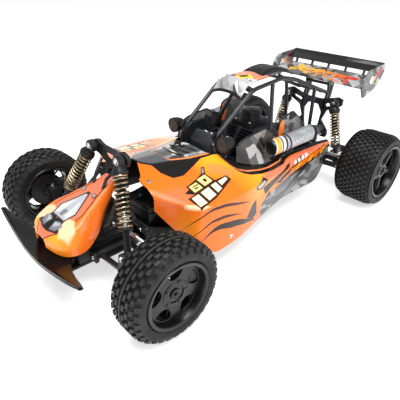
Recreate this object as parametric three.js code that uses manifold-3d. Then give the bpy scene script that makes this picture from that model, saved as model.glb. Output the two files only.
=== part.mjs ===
// A 1:10 scale rear-drive desert buggy with independent suspension, in millimetres.
// It is laid out from the front axle: x to the vehicle's left, y towards the tail, z up from the
// ground. The last group moves it, so that the origin lies on the ground midway between the axles.
import * as THREE from "three";
import { mergeVertices } from "three/addons/utils/BufferGeometryUtils.js";
import Module from "manifold-3d";

const wasm = await Module();
wasm.setup();

// ---- Driving dimensions ----
const WHEELBASE = 328;
const TYRE_RADIUS = 45;
const FRONT_WHEEL = { x: 108.6, y: 0, width: 34.9, lip: 30.5, disc: 9, hub: [-4, 9] };
const REAR_WHEEL = { x: 106.7, y: WHEELBASE, width: 47.4, lip: 33.3, disc: 14, hub: [-10, 14] };
const TYRE_SIDES = 20;
const RIM_SIDES = 16;
const SPOKES = 5;
const GAP = 0.4;
const PIN = 1.6;
const BORE = 2.1;
const EYE_BORE = 2.4;
const TUBE = 2.4;
const SKIN = 1.6;
const TUB_FLOOR = 18;
const NOSE_FLOOR = 23.5;
const PLATE = 3;

// Each corner's pivots lie along y: the arm's inner and outer pivot as (x, z), the upper link's inner
// pivot as (x, z), and the shock absorber's two ends as points.
const FRONT = {
  axleY: 0,
  inner: [22, 33],
  outer: [82, 35],
  linkInner: [24, 60],
  linkY: 9,
  shockTop: [23, 18.4, 118.8],
  shockFoot: [61, -4, 50],
  cup: 57.5,
  bodyEnd: 44,
};
const REAR = {
  axleY: WHEELBASE,
  inner: [20, 33.5],
  outer: [68, 34.5],
  linkInner: [22, 60],
  linkY: WHEELBASE - 13,
  shockTop: [36.5, WHEELBASE + 13, 107.3],
  shockFoot: [51, WHEELBASE + 13, 44],
  cup: 54.5,
  bodyEnd: 42.8,
};
const KINGPIN_X = 88;
const TIE_INNER = [28, 34, 44];
const TIE_OUTER = [88, 20, 47];
const SHAFT_INNER = [20, WHEELBASE, 44];
const SHAFT_OUTER = [68, WHEELBASE, 45];
const SPUR = { teeth: 36, y: WHEELBASE - 38, z: 58, turn: 0 };
const PINION = { teeth: 12, y: WHEELBASE - 62, z: 58, turn: Math.PI / 12 };
const GEAR_FACE = [-23, -18.5];

// ---- Materials ----
const finish = (color, roughness, metalness = 0) =>
  new THREE.MeshStandardMaterial({ color, roughness, metalness });
const BLACK = finish(0x16171a, 0.5);
const GLOSS = finish(0x0c0c0e, 0.15);
const ORANGE = finish(0xf26a12, 0.25);
const CAMO = finish(0x8b9094, 0.3);
const RUBBER = finish(0x1b1b1c, 0.85);
const RIM = finish(0x202124, 0.35);
const SPRING = finish(0xa39175, 0.3, 0.9);
const STEEL = finish(0xb8babd, 0.3, 1);
const SILVER = finish(0x9a9da1, 0.4, 0.8);
const CELL = finish(0x2a3550, 0.5);

// ---- Solid modelling helpers ----
function solidOf(geometry) {
  const bare = geometry.index ? geometry.toNonIndexed() : geometry.clone();
  bare.deleteAttribute("normal");
  bare.deleteAttribute("uv");
  const merged = mergeVertices(bare, 1e-3);
  return new wasm.Manifold(
    new wasm.Mesh({
      numProp: 3,
      vertProperties: new Float32Array(merged.attributes.position.array),
      triVerts: new Uint32Array(merged.index.array),
    }),
  );
}

function geometryOf(solid) {
  const mesh = solid.getMesh();
  const geometry = new THREE.BufferGeometry();
  geometry.setAttribute("position", new THREE.BufferAttribute(mesh.vertProperties, 3));
  geometry.setIndex(new THREE.BufferAttribute(mesh.triVerts, 1));
  return geometry;
}

const join = (...pieces) => geometryOf(pieces.map(solidOf).reduce((whole, next) => whole.add(next)));
const cut = (piece, ...tools) =>
  geometryOf(tools.map(solidOf).reduce((rest, tool) => rest.subtract(tool), solidOf(piece)));

// The same closed surface, with its triangles turned round if they face inwards.
function facingOut(geometry) {
  if (solidOf(geometry).volume() > 0) return geometry;
  const loose = geometry.index ? geometry.toNonIndexed() : geometry;
  const corners = loose.attributes.position.array;
  for (let i = 0; i < corners.length; i += 9)
    for (let k = 0; k < 3; k++)
      [corners[i + 3 + k], corners[i + 6 + k]] = [corners[i + 6 + k], corners[i + 3 + k]];
  return loose;
}

// A box between two opposite corners.
function block(low, high) {
  const size = high.map((value, i) => value - low[i]);
  const middle = high.map((value, i) => (value + low[i]) / 2);
  return new THREE.BoxGeometry(...size).translate(...middle);
}

// A flat outline, extruded along an axis: (y, z) along x, (x, z) along y or (x, y) along z.
function plate(axis, outline, from, to) {
  const shape = new THREE.Shape(outline.map((point) => new THREE.Vector2(...point)));
  const geometry = new THREE.ExtrudeGeometry(shape, { depth: to - from, bevelEnabled: false });
  const [x, y, z] = [0, 1, 2].map((i) => new THREE.Vector3().setComponent(i, 1));
  const turn = new THREE.Matrix4();
  if (axis === "x") turn.makeBasis(y, z, x);
  if (axis === "y") turn.makeBasis(x, z, y.negate());
  return geometry.translate(0, 0, axis === "y" ? -to : from).applyMatrix4(turn);
}

// An outline given by its left half, from front to back or bottom to top, and its mirror image.
const mirrored = (half) => [...half, ...half.toReversed().map(([x, other]) => [-x, other])];

const towards = (direction) =>
  new THREE.Quaternion().setFromUnitVectors(
    new THREE.Vector3(0, 1, 0),
    new THREE.Vector3(...direction).normalize(),
  );

// A round bar between two points.
function bar(from, to, radius, sides = 8, endRadius = radius) {
  const along = to.map((value, i) => value - from[i]);
  const length = Math.hypot(...along);
  const geometry = new THREE.CylinderGeometry(endRadius, radius, length, sides);
  return geometry.translate(0, length / 2, 0).applyQuaternion(towards(along)).translate(...from);
}

// A bar along y through (x, z).
const barY = ([x, z], from, to, radius, sides = 8) => bar([x, from, z], [x, to, z], radius, sides);

// Bars from point to point. Each runs on a little past the bends, so that they join there.
function pipe(points, radius = TUBE, sides = 6) {
  const reach = 0.6 * radius;
  const bars = points.slice(1).map((end, i) => {
    const start = points[i];
    const along = new THREE.Vector3(...end).sub(new THREE.Vector3(...start)).normalize();
    const before = i === 0 ? 0 : -reach;
    const after = i === points.length - 2 ? 0 : reach;
    const moved = (point, by) => along.toArray().map((value, k) => point[k] + value * by);
    return bar(moved(start, before), moved(end, after), radius, sides);
  });
  return join(...bars);
}

// A profile of (radius, height) points turned about a line through one point.
function turned(profile, start, direction, sides = 16) {
  const onAxis = profile[0][0] === 0 && profile.at(-1)[0] === 0;
  const closed = onAxis ? profile : [...profile, profile[0]];
  const geometry = new THREE.LatheGeometry(closed.map((point) => new THREE.Vector2(...point)), sides);
  return facingOut(geometry.applyQuaternion(towards(direction)).translate(...start));
}

// A ring about a line along y, with a bore for a pin.
const ringY = ([x, y, z], radius, width, bore = EYE_BORE) =>
  turned(
    [
      [bore, -width / 2],
      [radius, -width / 2],
      [radius, width / 2],
      [bore, width / 2],
    ],
    [x, y, z],
    [0, 1, 0],
    10,
  );

// A thin closed skin: rows of outer points, thickened inwards along the surface's own normals.
function skin(rows, thickness = SKIN) {
  const outer = rows.map((row) => row.map((point) => new THREE.Vector3(...point)));
  const end = outer.length - 1;
  const last = outer[0].length - 1;
  const at = (i, j) => outer[Math.min(Math.max(i, 0), end)][Math.min(Math.max(j, 0), last)];
  const inner = outer.map((row, i) =>
    row.map((point, j) => {
      const along = at(i + 1, j).clone().sub(at(i - 1, j));
      const across = at(i, j + 1).clone().sub(at(i, j - 1));
      return point.clone().addScaledVector(across.cross(along).normalize(), thickness);
    }),
  );
  const corners = [];
  const quad = (a, b, c, d) => corners.push(a, b, c, a, c, d);
  for (let i = 0; i < end; i++) {
    for (let j = 0; j < last; j++) {
      quad(outer[i][j], outer[i][j + 1], outer[i + 1][j + 1], outer[i + 1][j]);
      quad(inner[i][j], inner[i + 1][j], inner[i + 1][j + 1], inner[i][j + 1]);
    }
    quad(outer[i][0], outer[i + 1][0], inner[i + 1][0], inner[i][0]);
    quad(outer[i][last], inner[i][last], inner[i + 1][last], outer[i + 1][last]);
  }
  for (let j = 0; j < last; j++) {
    quad(outer[0][j], inner[0][j], inner[0][j + 1], outer[0][j + 1]);
    quad(outer[end][j], outer[end][j + 1], inner[end][j + 1], inner[end][j]);
  }
  const geometry = new THREE.BufferGeometry();
  const numbers = corners.flatMap((corner) => corner.toArray());
  geometry.setAttribute("position", new THREE.Float32BufferAttribute(numbers, 3));
  return facingOut(geometry);
}

// A cross-section row at y: (x, z) points from the left edge to the middle, then their mirror image.
const section = (y, half) => [
  ...half.map(([x, z]) => [x, y, z]),
  ...half.slice(0, -1).toReversed().map(([x, z]) => [-x, y, z]),
];

// ---- The model ----
const car = new THREE.Group();
car.position.y = -WHEELBASE / 2;

function add(name, geometry, material) {
  const mesh = new THREE.Mesh(geometry, material);
  mesh.name = name;
  car.add(mesh);
  return mesh;
}

// The left-hand piece and its mirror image on the right.
function addPair(name, geometry, material) {
  add(`${name}_left`, geometry, material);
  add(`${name}_right`, geometry, material).scale.x = -1;
}

// ---- Wheels, turned about the axle, with heights along the axle away from the vehicle ----
function tyre({ x, y, width, lip }) {
  const half = width / 2;
  const outside = [
    [lip - 1.5, half - 2.6],
    [lip + 0.5, half - 2.4],
    [lip + 4, half],
    [TYRE_RADIUS - 4, half - 0.6],
    [TYRE_RADIUS, half - 7],
  ];
  const inside = [
    [lip - 1.5, half - 5],
    [lip + 3.5, half - 3],
    [TYRE_RADIUS - 4, half - 8],
  ];
  const far = ([radius, height]) => [radius, -height];
  const profile = [
    ...outside,
    ...outside.toReversed().map(far),
    ...inside.map(far),
    ...inside.toReversed(),
  ];
  return turned(profile, [x, y, TYRE_RADIUS], [1, 0, 0], TYRE_SIDES);
}

function rim({ x, y, width, lip, disc, hub }, windowOutline) {
  const edge = width / 2 - 0.6;
  const seat = width / 2 - 2;
  const profile = [
    [2.6, hub[0]],
    [2.6, hub[1]],
    [6, hub[1]],
    [6, disc + 1.5],
    [lip - 6, disc + 1.5],
    [lip - 2.4, edge],
    [lip, edge],
    [lip, seat],
    [lip - 1.9, seat],
    [lip - 1.9, -seat],
    [lip, -seat],
    [lip, -edge],
    [lip - 4, -edge],
    [lip - 4.5, disc - 1.5],
    [6, disc - 1.5],
    [6, hub[0]],
  ];
  const windows = Array.from({ length: SPOKES }, (_, i) =>
    plate("x", windowOutline, disc - 3, disc + 3)
      .rotateX((i * 2 * Math.PI) / SPOKES)
      .translate(x, y, TYRE_RADIUS),
  );
  return cut(turned(profile, [x, y, TYRE_RADIUS], [1, 0, 0], RIM_SIDES), ...windows);
}

// The rear axle turns with its rim, and ends inboard in a cup that the driveshaft's ball sits in.
function rearRim() {
  const spokeWindow = [
    [-3.5, 10],
    [3.5, 10],
    [8, 24.5],
    [-8, 24.5],
  ];
  const cupProfile = [
    [0, 7.6],
    [3.9, 7.6],
    [3.9, 0],
    [5, 0],
    [5, 9],
    [2.4, 9],
    [2.4, 54],
    [0, 54],
  ];
  const axle = turned(cupProfile, [64.3, WHEELBASE, TYRE_RADIUS], [1, 0, 0], 12);
  const hubPlug = bar([100, WHEELBASE, TYRE_RADIUS], [116, WHEELBASE, TYRE_RADIUS], 4, 12);
  return join(rim(REAR_WHEEL, spokeWindow), axle, hubPlug);
}

function wheels() {
  const slot = [
    [-4, 13],
    [4, 13],
    [4.5, 19],
    [-4.5, 19],
  ];
  addPair("front_tyre", tyre(FRONT_WHEEL), RUBBER);
  addPair("front_rim", rim(FRONT_WHEEL, slot), RIM);
  addPair("rear_tyre", tyre(REAR_WHEEL), RUBBER);
  addPair("rear_rim", rearRim(), RIM);
}

// ---- Suspension arms: an inner barrel, a web, an outer fork with its pin, and an ear for the shock ----
function suspensionArm({ inner, outer, shockFoot, axleY }, web, barrel, fork, earOutline) {
  const [low, high] = [inner[1] - 2.7, inner[1] + 2.7];
  const [slotFrom, slotTo] = [fork[0] + 3.7, fork[1] - 3.7];
  const [footX, footY, footZ] = shockFoot;
  const arm = join(
    plate("z", web, low, high),
    barY(inner, ...barrel, 4.2, 12),
    barY(outer, ...fork, 3.8, 12),
    plate("y", earOutline, footY - 7, footY - 3),
  );
  const slot = block([outer[0] - 6, slotFrom, outer[1] - 6], [outer[0] + 6, slotTo, outer[1] + 6]);
  const bored = cut(arm, barY(inner, axleY - 60, axleY + 60, BORE), slot);
  return join(
    bored,
    barY(outer, fork[0], fork[1], PIN),
    barY([footX, footZ], footY - 3.5, footY + 4, PIN),
  );
}

function frontArm() {
  const web = [
    [24, -13.5],
    [34, -13.5],
    [74, -10],
    [82, -10],
    [82, 10],
    [74, 10],
    [34, 24.5],
    [24, 24.5],
  ];
  const ear = [
    [53, 34],
    [69, 34],
    [65, 52],
    [61, 54],
    [57, 52],
  ];
  return suspensionArm(FRONT, web, [-13.5, 24.5], [-10, 10], ear);
}

function rearArm() {
  const web = [
    [22, WHEELBASE - 15.5],
    [44, WHEELBASE - 13],
    [62, WHEELBASE - 10],
    [68, WHEELBASE - 10],
    [68, WHEELBASE + 10],
    [60, WHEELBASE + 12],
    [56, WHEELBASE + 20],
    [46, WHEELBASE + 20],
    [40, WHEELBASE + 12],
    [22, WHEELBASE + 12],
  ];
  const ear = [
    [45, 33],
    [57, 33],
    [55, 46],
    [51, 48],
    [47, 46],
  ];
  const barrel = [WHEELBASE - 15.5, WHEELBASE + 12];
  return suspensionArm(REAR, web, barrel, [WHEELBASE - 10, WHEELBASE + 10], ear);
}

// ---- Carriers at the arms' outer ends ----
function frontCarrier() {
  const { outer, linkInner, inner, linkY } = FRONT;
  const link = [linkInner[0] + outer[0] - inner[0], linkInner[1] + outer[1] - inner[1]];
  const hub = join(
    barY(outer, -6, 6, 3.6, 12),
    block([79.2, -6, 34], [82.6, 6, 57.5]),
    block([80, -6, 33], [92, 6, 39]),
    block([80, -6, 53], [92, 6, 57.5]),
    block([link[0] - 3.5, 3.2, 56], [link[0] + 3.5, 6.2, link[1] + 3.5]),
  );
  return join(
    cut(hub, barY(outer, -20, 20, BORE)),
    bar([KINGPIN_X, 0, 36], [KINGPIN_X, 0, 56], PIN),
    barY(link, 6, linkY + 3, PIN),
  );
}

function rearCarrier() {
  const { outer, linkInner, inner, linkY } = REAR;
  const link = [linkInner[0] + outer[0] - inner[0], linkInner[1] + outer[1] - inner[1]];
  const upright = [
    [WHEELBASE - 8, 32],
    [WHEELBASE + 8, 32],
    [WHEELBASE + 9, 54],
    [WHEELBASE - 2, 65],
    [WHEELBASE - 10, 65],
    [WHEELBASE - 10, 54],
  ];
  const hub = join(
    plate("x", upright, 73.6, 81.5),
    block([69, WHEELBASE - 6, 31.5], [74, WHEELBASE + 6, 37.5]),
    barY(outer, WHEELBASE - 6, WHEELBASE + 6, 3.4, 12),
    block([66.5, WHEELBASE - 9.9, 57.5], [80, WHEELBASE - 6, 64.5]),
  );
  const bored = cut(
    hub,
    barY(outer, WHEELBASE - 20, WHEELBASE + 20, BORE),
    bar([60, WHEELBASE, TYRE_RADIUS], [90, WHEELBASE, TYRE_RADIUS], 2.8, 12),
  );
  return join(bored, barY(link, linkY - 3, WHEELBASE - 9, PIN));
}

// The knuckle turns on the kingpin. It carries the stub axle with its nut, and the steering lever.
function steeringKnuckle() {
  const body = join(
    block([85.2, -5.5, 39.5], [92, 5.5, 52.5]),
    block([86, 3, 39.8], [91.5, 24, 43.5]),
  );
  return join(
    cut(body, bar([KINGPIN_X, 0, 30], [KINGPIN_X, 0, 60], BORE)),
    bar([91, 0, TYRE_RADIUS], [120, 0, TYRE_RADIUS], 2.2),
    bar([118, 0, TYRE_RADIUS], [121, 0, TYRE_RADIUS], 3.4, 6),
  );
}

function uprights() {
  addPair("front_arm", frontArm(), BLACK);
  addPair("front_carrier", frontCarrier(), BLACK);
  addPair("steering_knuckle", steeringKnuckle(), BLACK);
  addPair("rear_arm", rearArm(), BLACK);
  addPair("rear_carrier", rearCarrier(), BLACK);
}

// ---- Links, with a ring at each end ----
function upperLink({ inner, outer, linkInner, linkY }) {
  const start = [linkInner[0], linkY, linkInner[1]];
  const end = [start[0] + outer[0] - inner[0], linkY, start[2] + outer[1] - inner[1]];
  const rings = [start, end].map((middle) => ringY(middle, 4, 4.4, 1));
  const bores = [start, end].map(([x, y, z]) => barY([x, z], y - 5, y + 5, EYE_BORE));
  return cut(join(bar(start, end, 1.7), ...rings), ...bores);
}

function tieRod() {
  const [x, y, z] = TIE_INNER;
  const rod = join(bar(TIE_INNER, TIE_OUTER, 1.5), ringY(TIE_INNER, 3.4, 4.4, 1));
  const cup = bar([TIE_OUTER[0], TIE_OUTER[1], 45.4], [TIE_OUTER[0], TIE_OUTER[1], 50], 3.5, 12);
  return cut(join(rod, cup), barY([x, z], y - 5, y + 5, EYE_BORE));
}

// The rack slides across the vehicle behind the bulkhead, with a pin for a tie rod at each end.
function steeringRack() {
  const [x, y, z] = TIE_INNER;
  const half = x - 4.5;
  const beam = join(
    block([-half, y - 2.5, z - 2], [half, y + 5.4, z + 2]),
    block([-x - 3, y + 2.6, z - 3], [x + 3, y + 5.4, z + 3]),
  );
  return join(beam, barY([x, z], y - 2.6, y + 3, PIN), barY([-x, z], y - 2.6, y + 3, PIN));
}

function driveshaft() {
  const ball = (place) => new THREE.SphereGeometry(3.5, 8, 6).translate(...place);
  return join(bar(SHAFT_INNER, SHAFT_OUTER, 2), ball(SHAFT_INNER), ball(SHAFT_OUTER));
}

function links() {
  addPair("front_upper_link", upperLink(FRONT), BLACK);
  addPair("rear_upper_link", upperLink(REAR), BLACK);
  addPair("tie_rod", tieRod(), BLACK);
  add("steering_rack", steeringRack(), BLACK);
  addPair("driveshaft", driveshaft(), STEEL);
}

// ---- Shock absorbers, turned about their own axis, with heights from the top eye ----
const SPRING_TOP = 12.4;
const STROKE_ROOM = 15.5;

function shockAxis({ shockTop, shockFoot }) {
  const direction = shockFoot.map((value, i) => value - shockTop[i]);
  return { direction, length: Math.hypot(...direction) };
}

function shockBody(corner) {
  const profile = [
    [0, 4],
    [5.2, 4],
    [6.6, 9.5],
    [6.6, SPRING_TOP - 0.4],
    [4.2, SPRING_TOP],
    [4.2, corner.bodyEnd],
    [1.9, corner.bodyEnd],
    [1.9, STROKE_ROOM],
    [0, STROKE_ROOM],
  ];
  const can = turned(profile, corner.shockTop, shockAxis(corner).direction, 10);
  const [x, y, z] = corner.shockTop;
  return cut(join(can, ringY(corner.shockTop, 6, 6, 1)), barY([x, z], y - 5, y + 5, EYE_BORE));
}

function shockRod(corner) {
  const { direction, length } = shockAxis(corner);
  const profile = [
    [0, corner.bodyEnd - 14],
    [1.5, corner.bodyEnd - 14],
    [1.5, corner.cup],
    [6.6, corner.cup],
    [6.6, corner.cup + 2],
    [3, corner.cup + 3],
    [3, length - 2],
    [0, length - 2],
  ];
  const rod = turned(profile, corner.shockTop, direction, 10);
  const [x, y, z] = corner.shockFoot;
  return cut(join(rod, ringY(corner.shockFoot, 4.4, 5, 1)), barY([x, z], y - 5, y + 5, EYE_BORE));
}

class Helix extends THREE.Curve {
  constructor(radius, low, high, turns) {
    super();
    Object.assign(this, { radius, low, high, turns });
  }
  getPoint(t) {
    const angle = 2 * Math.PI * this.turns * t;
    const height = this.low + (this.high - this.low) * t;
    return new THREE.Vector3(this.radius * Math.cos(angle), height, this.radius * Math.sin(angle));
  }
}

function shockSpring(corner, turns = 7.5) {
  const wire = 0.8;
  const steps = Math.round(turns * 7);
  const section = new THREE.Shape();
  section.moveTo(wire, 0).lineTo(0, wire).lineTo(-wire, 0).lineTo(0, -wire);
  const path = new Helix(5.7, SPRING_TOP + wire + GAP, corner.cup - wire - GAP, turns);
  const coil = new THREE.ExtrudeGeometry(section, { steps, extrudePath: path, bevelEnabled: false });
  const turn = towards(shockAxis(corner).direction);
  return facingOut(coil.applyQuaternion(turn).translate(...corner.shockTop));
}

function shocks() {
  for (const [place, corner] of Object.entries({ front: FRONT, rear: REAR })) {
    addPair(`${place}_shock_body`, shockBody(corner), BLACK);
    addPair(`${place}_shock_rod`, shockRod(corner), STEEL);
    addPair(`${place}_spring`, shockSpring(corner), SPRING);
  }
}

// ---- Drive train ----
function gear({ teeth, y, z, turn }, bore) {
  const pitch = teeth / 2;
  const [tip, root] = [pitch + 0.85, pitch - 1.2];
  const outline = [];
  for (let tooth = 0; tooth < teeth; tooth++)
    for (const [share, radius] of [
      [-0.32, root],
      [-0.13, tip],
      [0.13, tip],
      [0.32, root],
    ]) {
      const angle = (2 * Math.PI * (tooth + share)) / teeth + turn;
      outline.push([y + radius * Math.cos(angle), z + radius * Math.sin(angle)]);
    }
  const wheel = plate("x", outline, ...GEAR_FACE);
  return cut(wheel, bar([-40, y, z], [0, y, z], bore, 12));
}

function driveTrain() {
  add("spur_gear", gear(SPUR, 2.6), BLACK);
  add("pinion", gear(PINION, 1.9), STEEL);
  const { y, z } = PINION;
  const can = join(
    bar([-15, y, z], [25, y, z], 14, 16),
    bar([-26, y, z], [-14, y, z], 1.5),
    bar([24, y, z], [28, y, z], 5, 12),
  );
  add("motor", can, SILVER);
  const axleEnds = [1, -1].map((side) =>
    cut(
      bar([side * 13, WHEELBASE, SHAFT_INNER[2]], [side * 24, WHEELBASE, SHAFT_INNER[2]], 5, 12),
      bar([side * 16, WHEELBASE, SHAFT_INNER[2]], [side * 25, WHEELBASE, SHAFT_INNER[2]], 3.9, 12),
    ),
  );
  const pinEars = [WHEELBASE - 20.3, WHEELBASE + 12.4].map((from) =>
    block([-25, from, 29], [25, from + 4, 38]),
  );
  const armPins = [1, -1].map((side) =>
    barY([side * REAR.inner[0], REAR.inner[1]], WHEELBASE - 20, WHEELBASE + 16, PIN),
  );
  const gearCase = block([-13.5, WHEELBASE - 44, TUB_FLOOR + PLATE + GAP], [13.5, WHEELBASE + 20, 66]);
  const spurPost = bar([-25, SPUR.y, SPUR.z], [-13, SPUR.y, SPUR.z], 2.2);
  add("rear_gearbox", join(gearCase, ...axleEnds, ...pinEars, ...armPins, spurPost), BLACK);
}

// ---- Chassis and inner parts ----
function chassisTub() {
  const outline = mirrored([
    [17, 28],
    [22, 44],
    [50, 76],
    [54, 100],
    [54, 230],
    [40, 276],
    [24, 296],
    [24, 348],
  ]);
  const hollow = mirrored([
    [19.5, 47],
    [47, 78],
    [51, 101],
    [51, 229],
    [38, 273],
    [21, 293],
    [21, 360],
  ]);
  const wall = cut(
    plate("z", outline, TUB_FLOOR, 38),
    plate("z", hollow, TUB_FLOOR + PLATE, 60),
    block([-60, 0, TUB_FLOOR + PLATE], [60, 46, 60]),
    block([-60, 298, TUB_FLOOR + PLATE], [60, 360, 60]),
  );
  const kickUp = [
    [46, TUB_FLOOR],
    [46, TUB_FLOOR + PLATE],
    [30, NOSE_FLOOR + PLATE],
    [-38, NOSE_FLOOR + PLATE],
    [-38, NOSE_FLOOR],
    [26, NOSE_FLOOR],
  ];
  return join(cut(wall, block([-60, 0, 0], [60, 44, 60])), plate("x", kickUp, -17, 17));
}

// The bulkhead holds the arms' inner pins. The tower that stands on it is part of the same moulding,
// and its pins carry the shocks' top eyes and the upper links.
function frontBulkhead() {
  const floor = NOSE_FLOOR + PLATE + GAP;
  const ears = [-18, 25].map((from) => block([-27, from, floor + 1], [27, from + 4, 38]));
  const armPins = [1, -1].map((side) => barY([side * FRONT.inner[0], FRONT.inner[1]], -18, 29, PIN));
  const [x, y, z] = FRONT.shockTop;
  const outline = mirrored([
    [14, 57],
    [29, 58],
    [28, 64],
    [17, 72],
    [16, 90],
    [7, 106],
    [20, z - 9],
    [29, z - 8],
    [29, z + 4],
    [20, z + 6],
  ]);
  const window = [
    [-11, 74],
    [11, 74],
    [11, 88],
    [0, 104],
    [-11, 88],
  ];
  const face = y + 4.8;
  const eyes = [1, -1].flatMap((side) => [
    barY([side * x, z], y - 4, face + 1, PIN),
    barY([side * FRONT.linkInner[0], FRONT.linkInner[1]], FRONT.linkY - 3, face + 1, PIN),
  ]);
  const braces = [1, -1].map((side) =>
    pipe([[side * 18.5, face + 1, 96], [side * 29, -2, 66], [side * 15, -2, 52]], 1.7),
  );
  const tower = cut(plate("y", outline, face, face + 4), plate("y", window, face - 1, face + 5));
  const base = block([-17, -29, floor], [17, face + 4, 60]);
  return join(base, ...ears, ...armPins, tower, ...eyes, ...braces);
}

// The rear tower's two struts hold the wing.
function rearShockTower() {
  const [x, y, z] = REAR.shockTop;
  const outline = mirrored([
    [13, 40],
    [14, 54],
    [27, 55],
    [27, 65],
    [16, 77],
    [36, z - 9],
    [43, z - 4],
    [43, z + 4],
    [36, z + 6],
    [20, z + 1],
    [10, z - 1],
  ]);
  const face = y + 7.4;
  const strut = [
    [face, 92],
    [362, 108],
    [366, 130],
    [366, 135.5],
    [358, 133.5],
    [350, 131],
    [353, 118],
    [face, 106],
  ];
  const wingStruts = [1, -1].map((side) => plate("x", strut, side * 17 - 1.5, side * 17 + 1.5));
  const crossBar = bar([-17, 355, 126], [17, 355, 126], 2, 8);
  const pins = [1, -1].flatMap((side) => [
    barY([side * x, z], y - 4, face + 1, PIN),
    barY([side * REAR.linkInner[0], REAR.linkInner[1]], REAR.linkY - 3, face + 1, PIN),
  ]);
  return join(plate("y", outline, face, face + 4), ...pins, ...wingStruts, crossBar);
}

function innerParts() {
  add("chassis_tub", chassisTub(), BLACK);
  add("front_bulkhead", frontBulkhead(), BLACK);
  add("rear_shock_tower", rearShockTower(), BLACK);
  const floor = TUB_FLOOR + PLATE + GAP;
  add("battery", block([-23, 84, floor], [23, 180, 45]), CELL);
  const servo = join(
    block([-20, 48, floor], [20, 68, 58]),
    bar([0, 53, 57], [0, 53, 63], 5, 12),
    block([-3, 36, 60], [3, 55, 63]),
  );
  add("steering_servo", servo, BLACK);
  const fins = [70, 78, 86, 94].map((z) => block([-25, 196, z], [25, 240, z + 3]));
  const engine = join(
    block([-15, 200, 62], [15, 236, 108]),
    ...fins,
    bar([0, 218, 106], [0, 218, 118], 12, 14),
  );
  add("engine_block", engine, BLACK);
}

// ---- Body panels ----
// A swept blade with raised, pointed tips. Each station is x, the front edge's y and the rear edge's y.
function bumper() {
  const half = [
    [77, -57.2, -55],
    [60, -59.5, -52],
    [45, -61, -48.5],
    [33, -62.2, -44],
    [25, -63, -37],
    [14, -63.8, -31],
    [0, -64, -30],
  ];
  const stations = [...half.slice(0, -1).map(([x, ...ends]) => [-x, ...ends]), ...half.toReversed()];
  const rows = stations.map(([x, ...ends]) => ends.map((y) => [x, y, 46.5 + 11 * (x / 77) ** 2]));
  const neck = [
    [-31, NOSE_FLOOR + PLATE + GAP],
    [-31, 34],
    [-34, 45],
    [-46, 45],
    [-38, NOSE_FLOOR + PLATE + GAP],
  ];
  return join(skin(rows, PLATE), plate("x", neck, -12, 12));
}

function noseCowl() {
  const rows = [
    [21, [[8.5, 87], [9, 91], [7.5, 96], [0, 96.5]]],
    [5, [[15, 72], [17, 78], [14.5, 88], [0, 89]]],
    [-10, [[26, 60], [26, 68], [20.5, 81.5], [0, 83]]],
    [-25, [[33, 53], [32.5, 62], [26.5, 76], [0, 77.5]]],
    [-36, [[33, 51], [32.5, 59], [26.5, 71.5], [0, 73.5]]],
    [-45, [[28.5, 51.5], [28.5, 57.5], [24, 67.5], [0, 69.5]]],
    [-50, [[20, 53], [20, 57.5], [17, 64], [0, 66]]],
    [-53, [[9, 54.5], [9, 58], [8, 61.5], [0, 63]]],
  ];
  return skin(rows.map(([y, half]) => section(y, half)));
}

function bodyShell() {
  const rows = [
    [36, [[47, 72], [47, 86], [40, 91], [32, 93.5], [20, 98.5], [0, 104]]],
    [48, [[66, 52], [66, 83.5], [54, 87.5], [32, 93.5], [12, 101], [0, 103.5]]],
    [60, [[80, 38], [83, 81], [66, 85], [34, 92.5], [17, 99], [0, 102.5]]],
    [76, [[84, 26], [86, 80], [66, 84], [37, 90.5], [20, 97.5], [0, 101.5]]],
    [92, [[85, 25], [86.5, 79.5], [66, 84], [33, 92], [21, 97], [0, 101]]],
    [116, [[82.5, 25], [86, 79], [66, 84], [34, 93], [24, 97], [0, 99.5]]],
    [130, [[79.5, 25], [84.5, 78.5], [68, 83.5], [44, 90.5], [30, 95.5], [0, 97]]],
    [150, [[75, 25], [81, 77.5], [71, 80.5], [58, 84.5], [45, 86], [0, 88]]],
    [170, [[70, 25], [78.5, 76], [70, 78.5], [62, 79.5], [50, 80], [0, 82]]],
    [195, [[65, 25], [75.5, 75], [69, 77.5], [61, 79], [50, 80], [0, 82]]],
    [217, [[62, 25], [72, 73], [66, 77], [58, 79.5], [48, 80], [0, 82]]],
    [245, [[62, 25], [68.5, 72], [63, 76], [57, 79], [48, 80], [0, 82]]],
    [280, [[62, 26], [64.5, 71], [61, 74], [57, 77], [48, 78], [0, 80]]],
    [302, [[60, 52], [61.5, 70], [59.5, 72], [57, 74], [48, 75], [0, 77]]],
  ];
  const cockpit = mirrored([
    [22, 121],
    [29.8, 125],
    [31.5, 136],
    [40, 136],
    [50, 140],
    [57, 150],
    [61, 163],
    [63, 178],
    [61, 200],
    [58, 217],
    [57, 245],
    [56, 330],
  ]);
  const noseGap = mirrored([
    [30, 30],
    [23, 40],
    [9, 47],
    [3, 50],
  ]);
  const whole = skin(rows.map(([y, half]) => section(y, half)));
  return cut(whole, plate("z", cockpit, 60, 130), plate("z", noseGap, 70, 130));
}

// Two inner side panels, joined by the floor and the dashboard.
function cockpitLiner() {
  const panel = [
    [146, 62],
    [146, 105],
    [158, 110],
    [188, 113],
    [198, 106],
    [211, 102],
    [214, 116],
    [236, 122],
    [250, 111],
    [264, 96],
    [264, 80],
    [190, 62],
  ];
  const dash = [
    [134, 62],
    [136, 98],
    [146, 107],
    [154, 100],
    [156, 62],
  ];
  return join(
    plate("x", panel, 44.6, 46.2),
    plate("x", panel, -46.2, -44.6),
    block([-46, 146.5, 62.5], [46, 189, 64.5]),
    plate("x", dash, -17, 17),
  );
}

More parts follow.
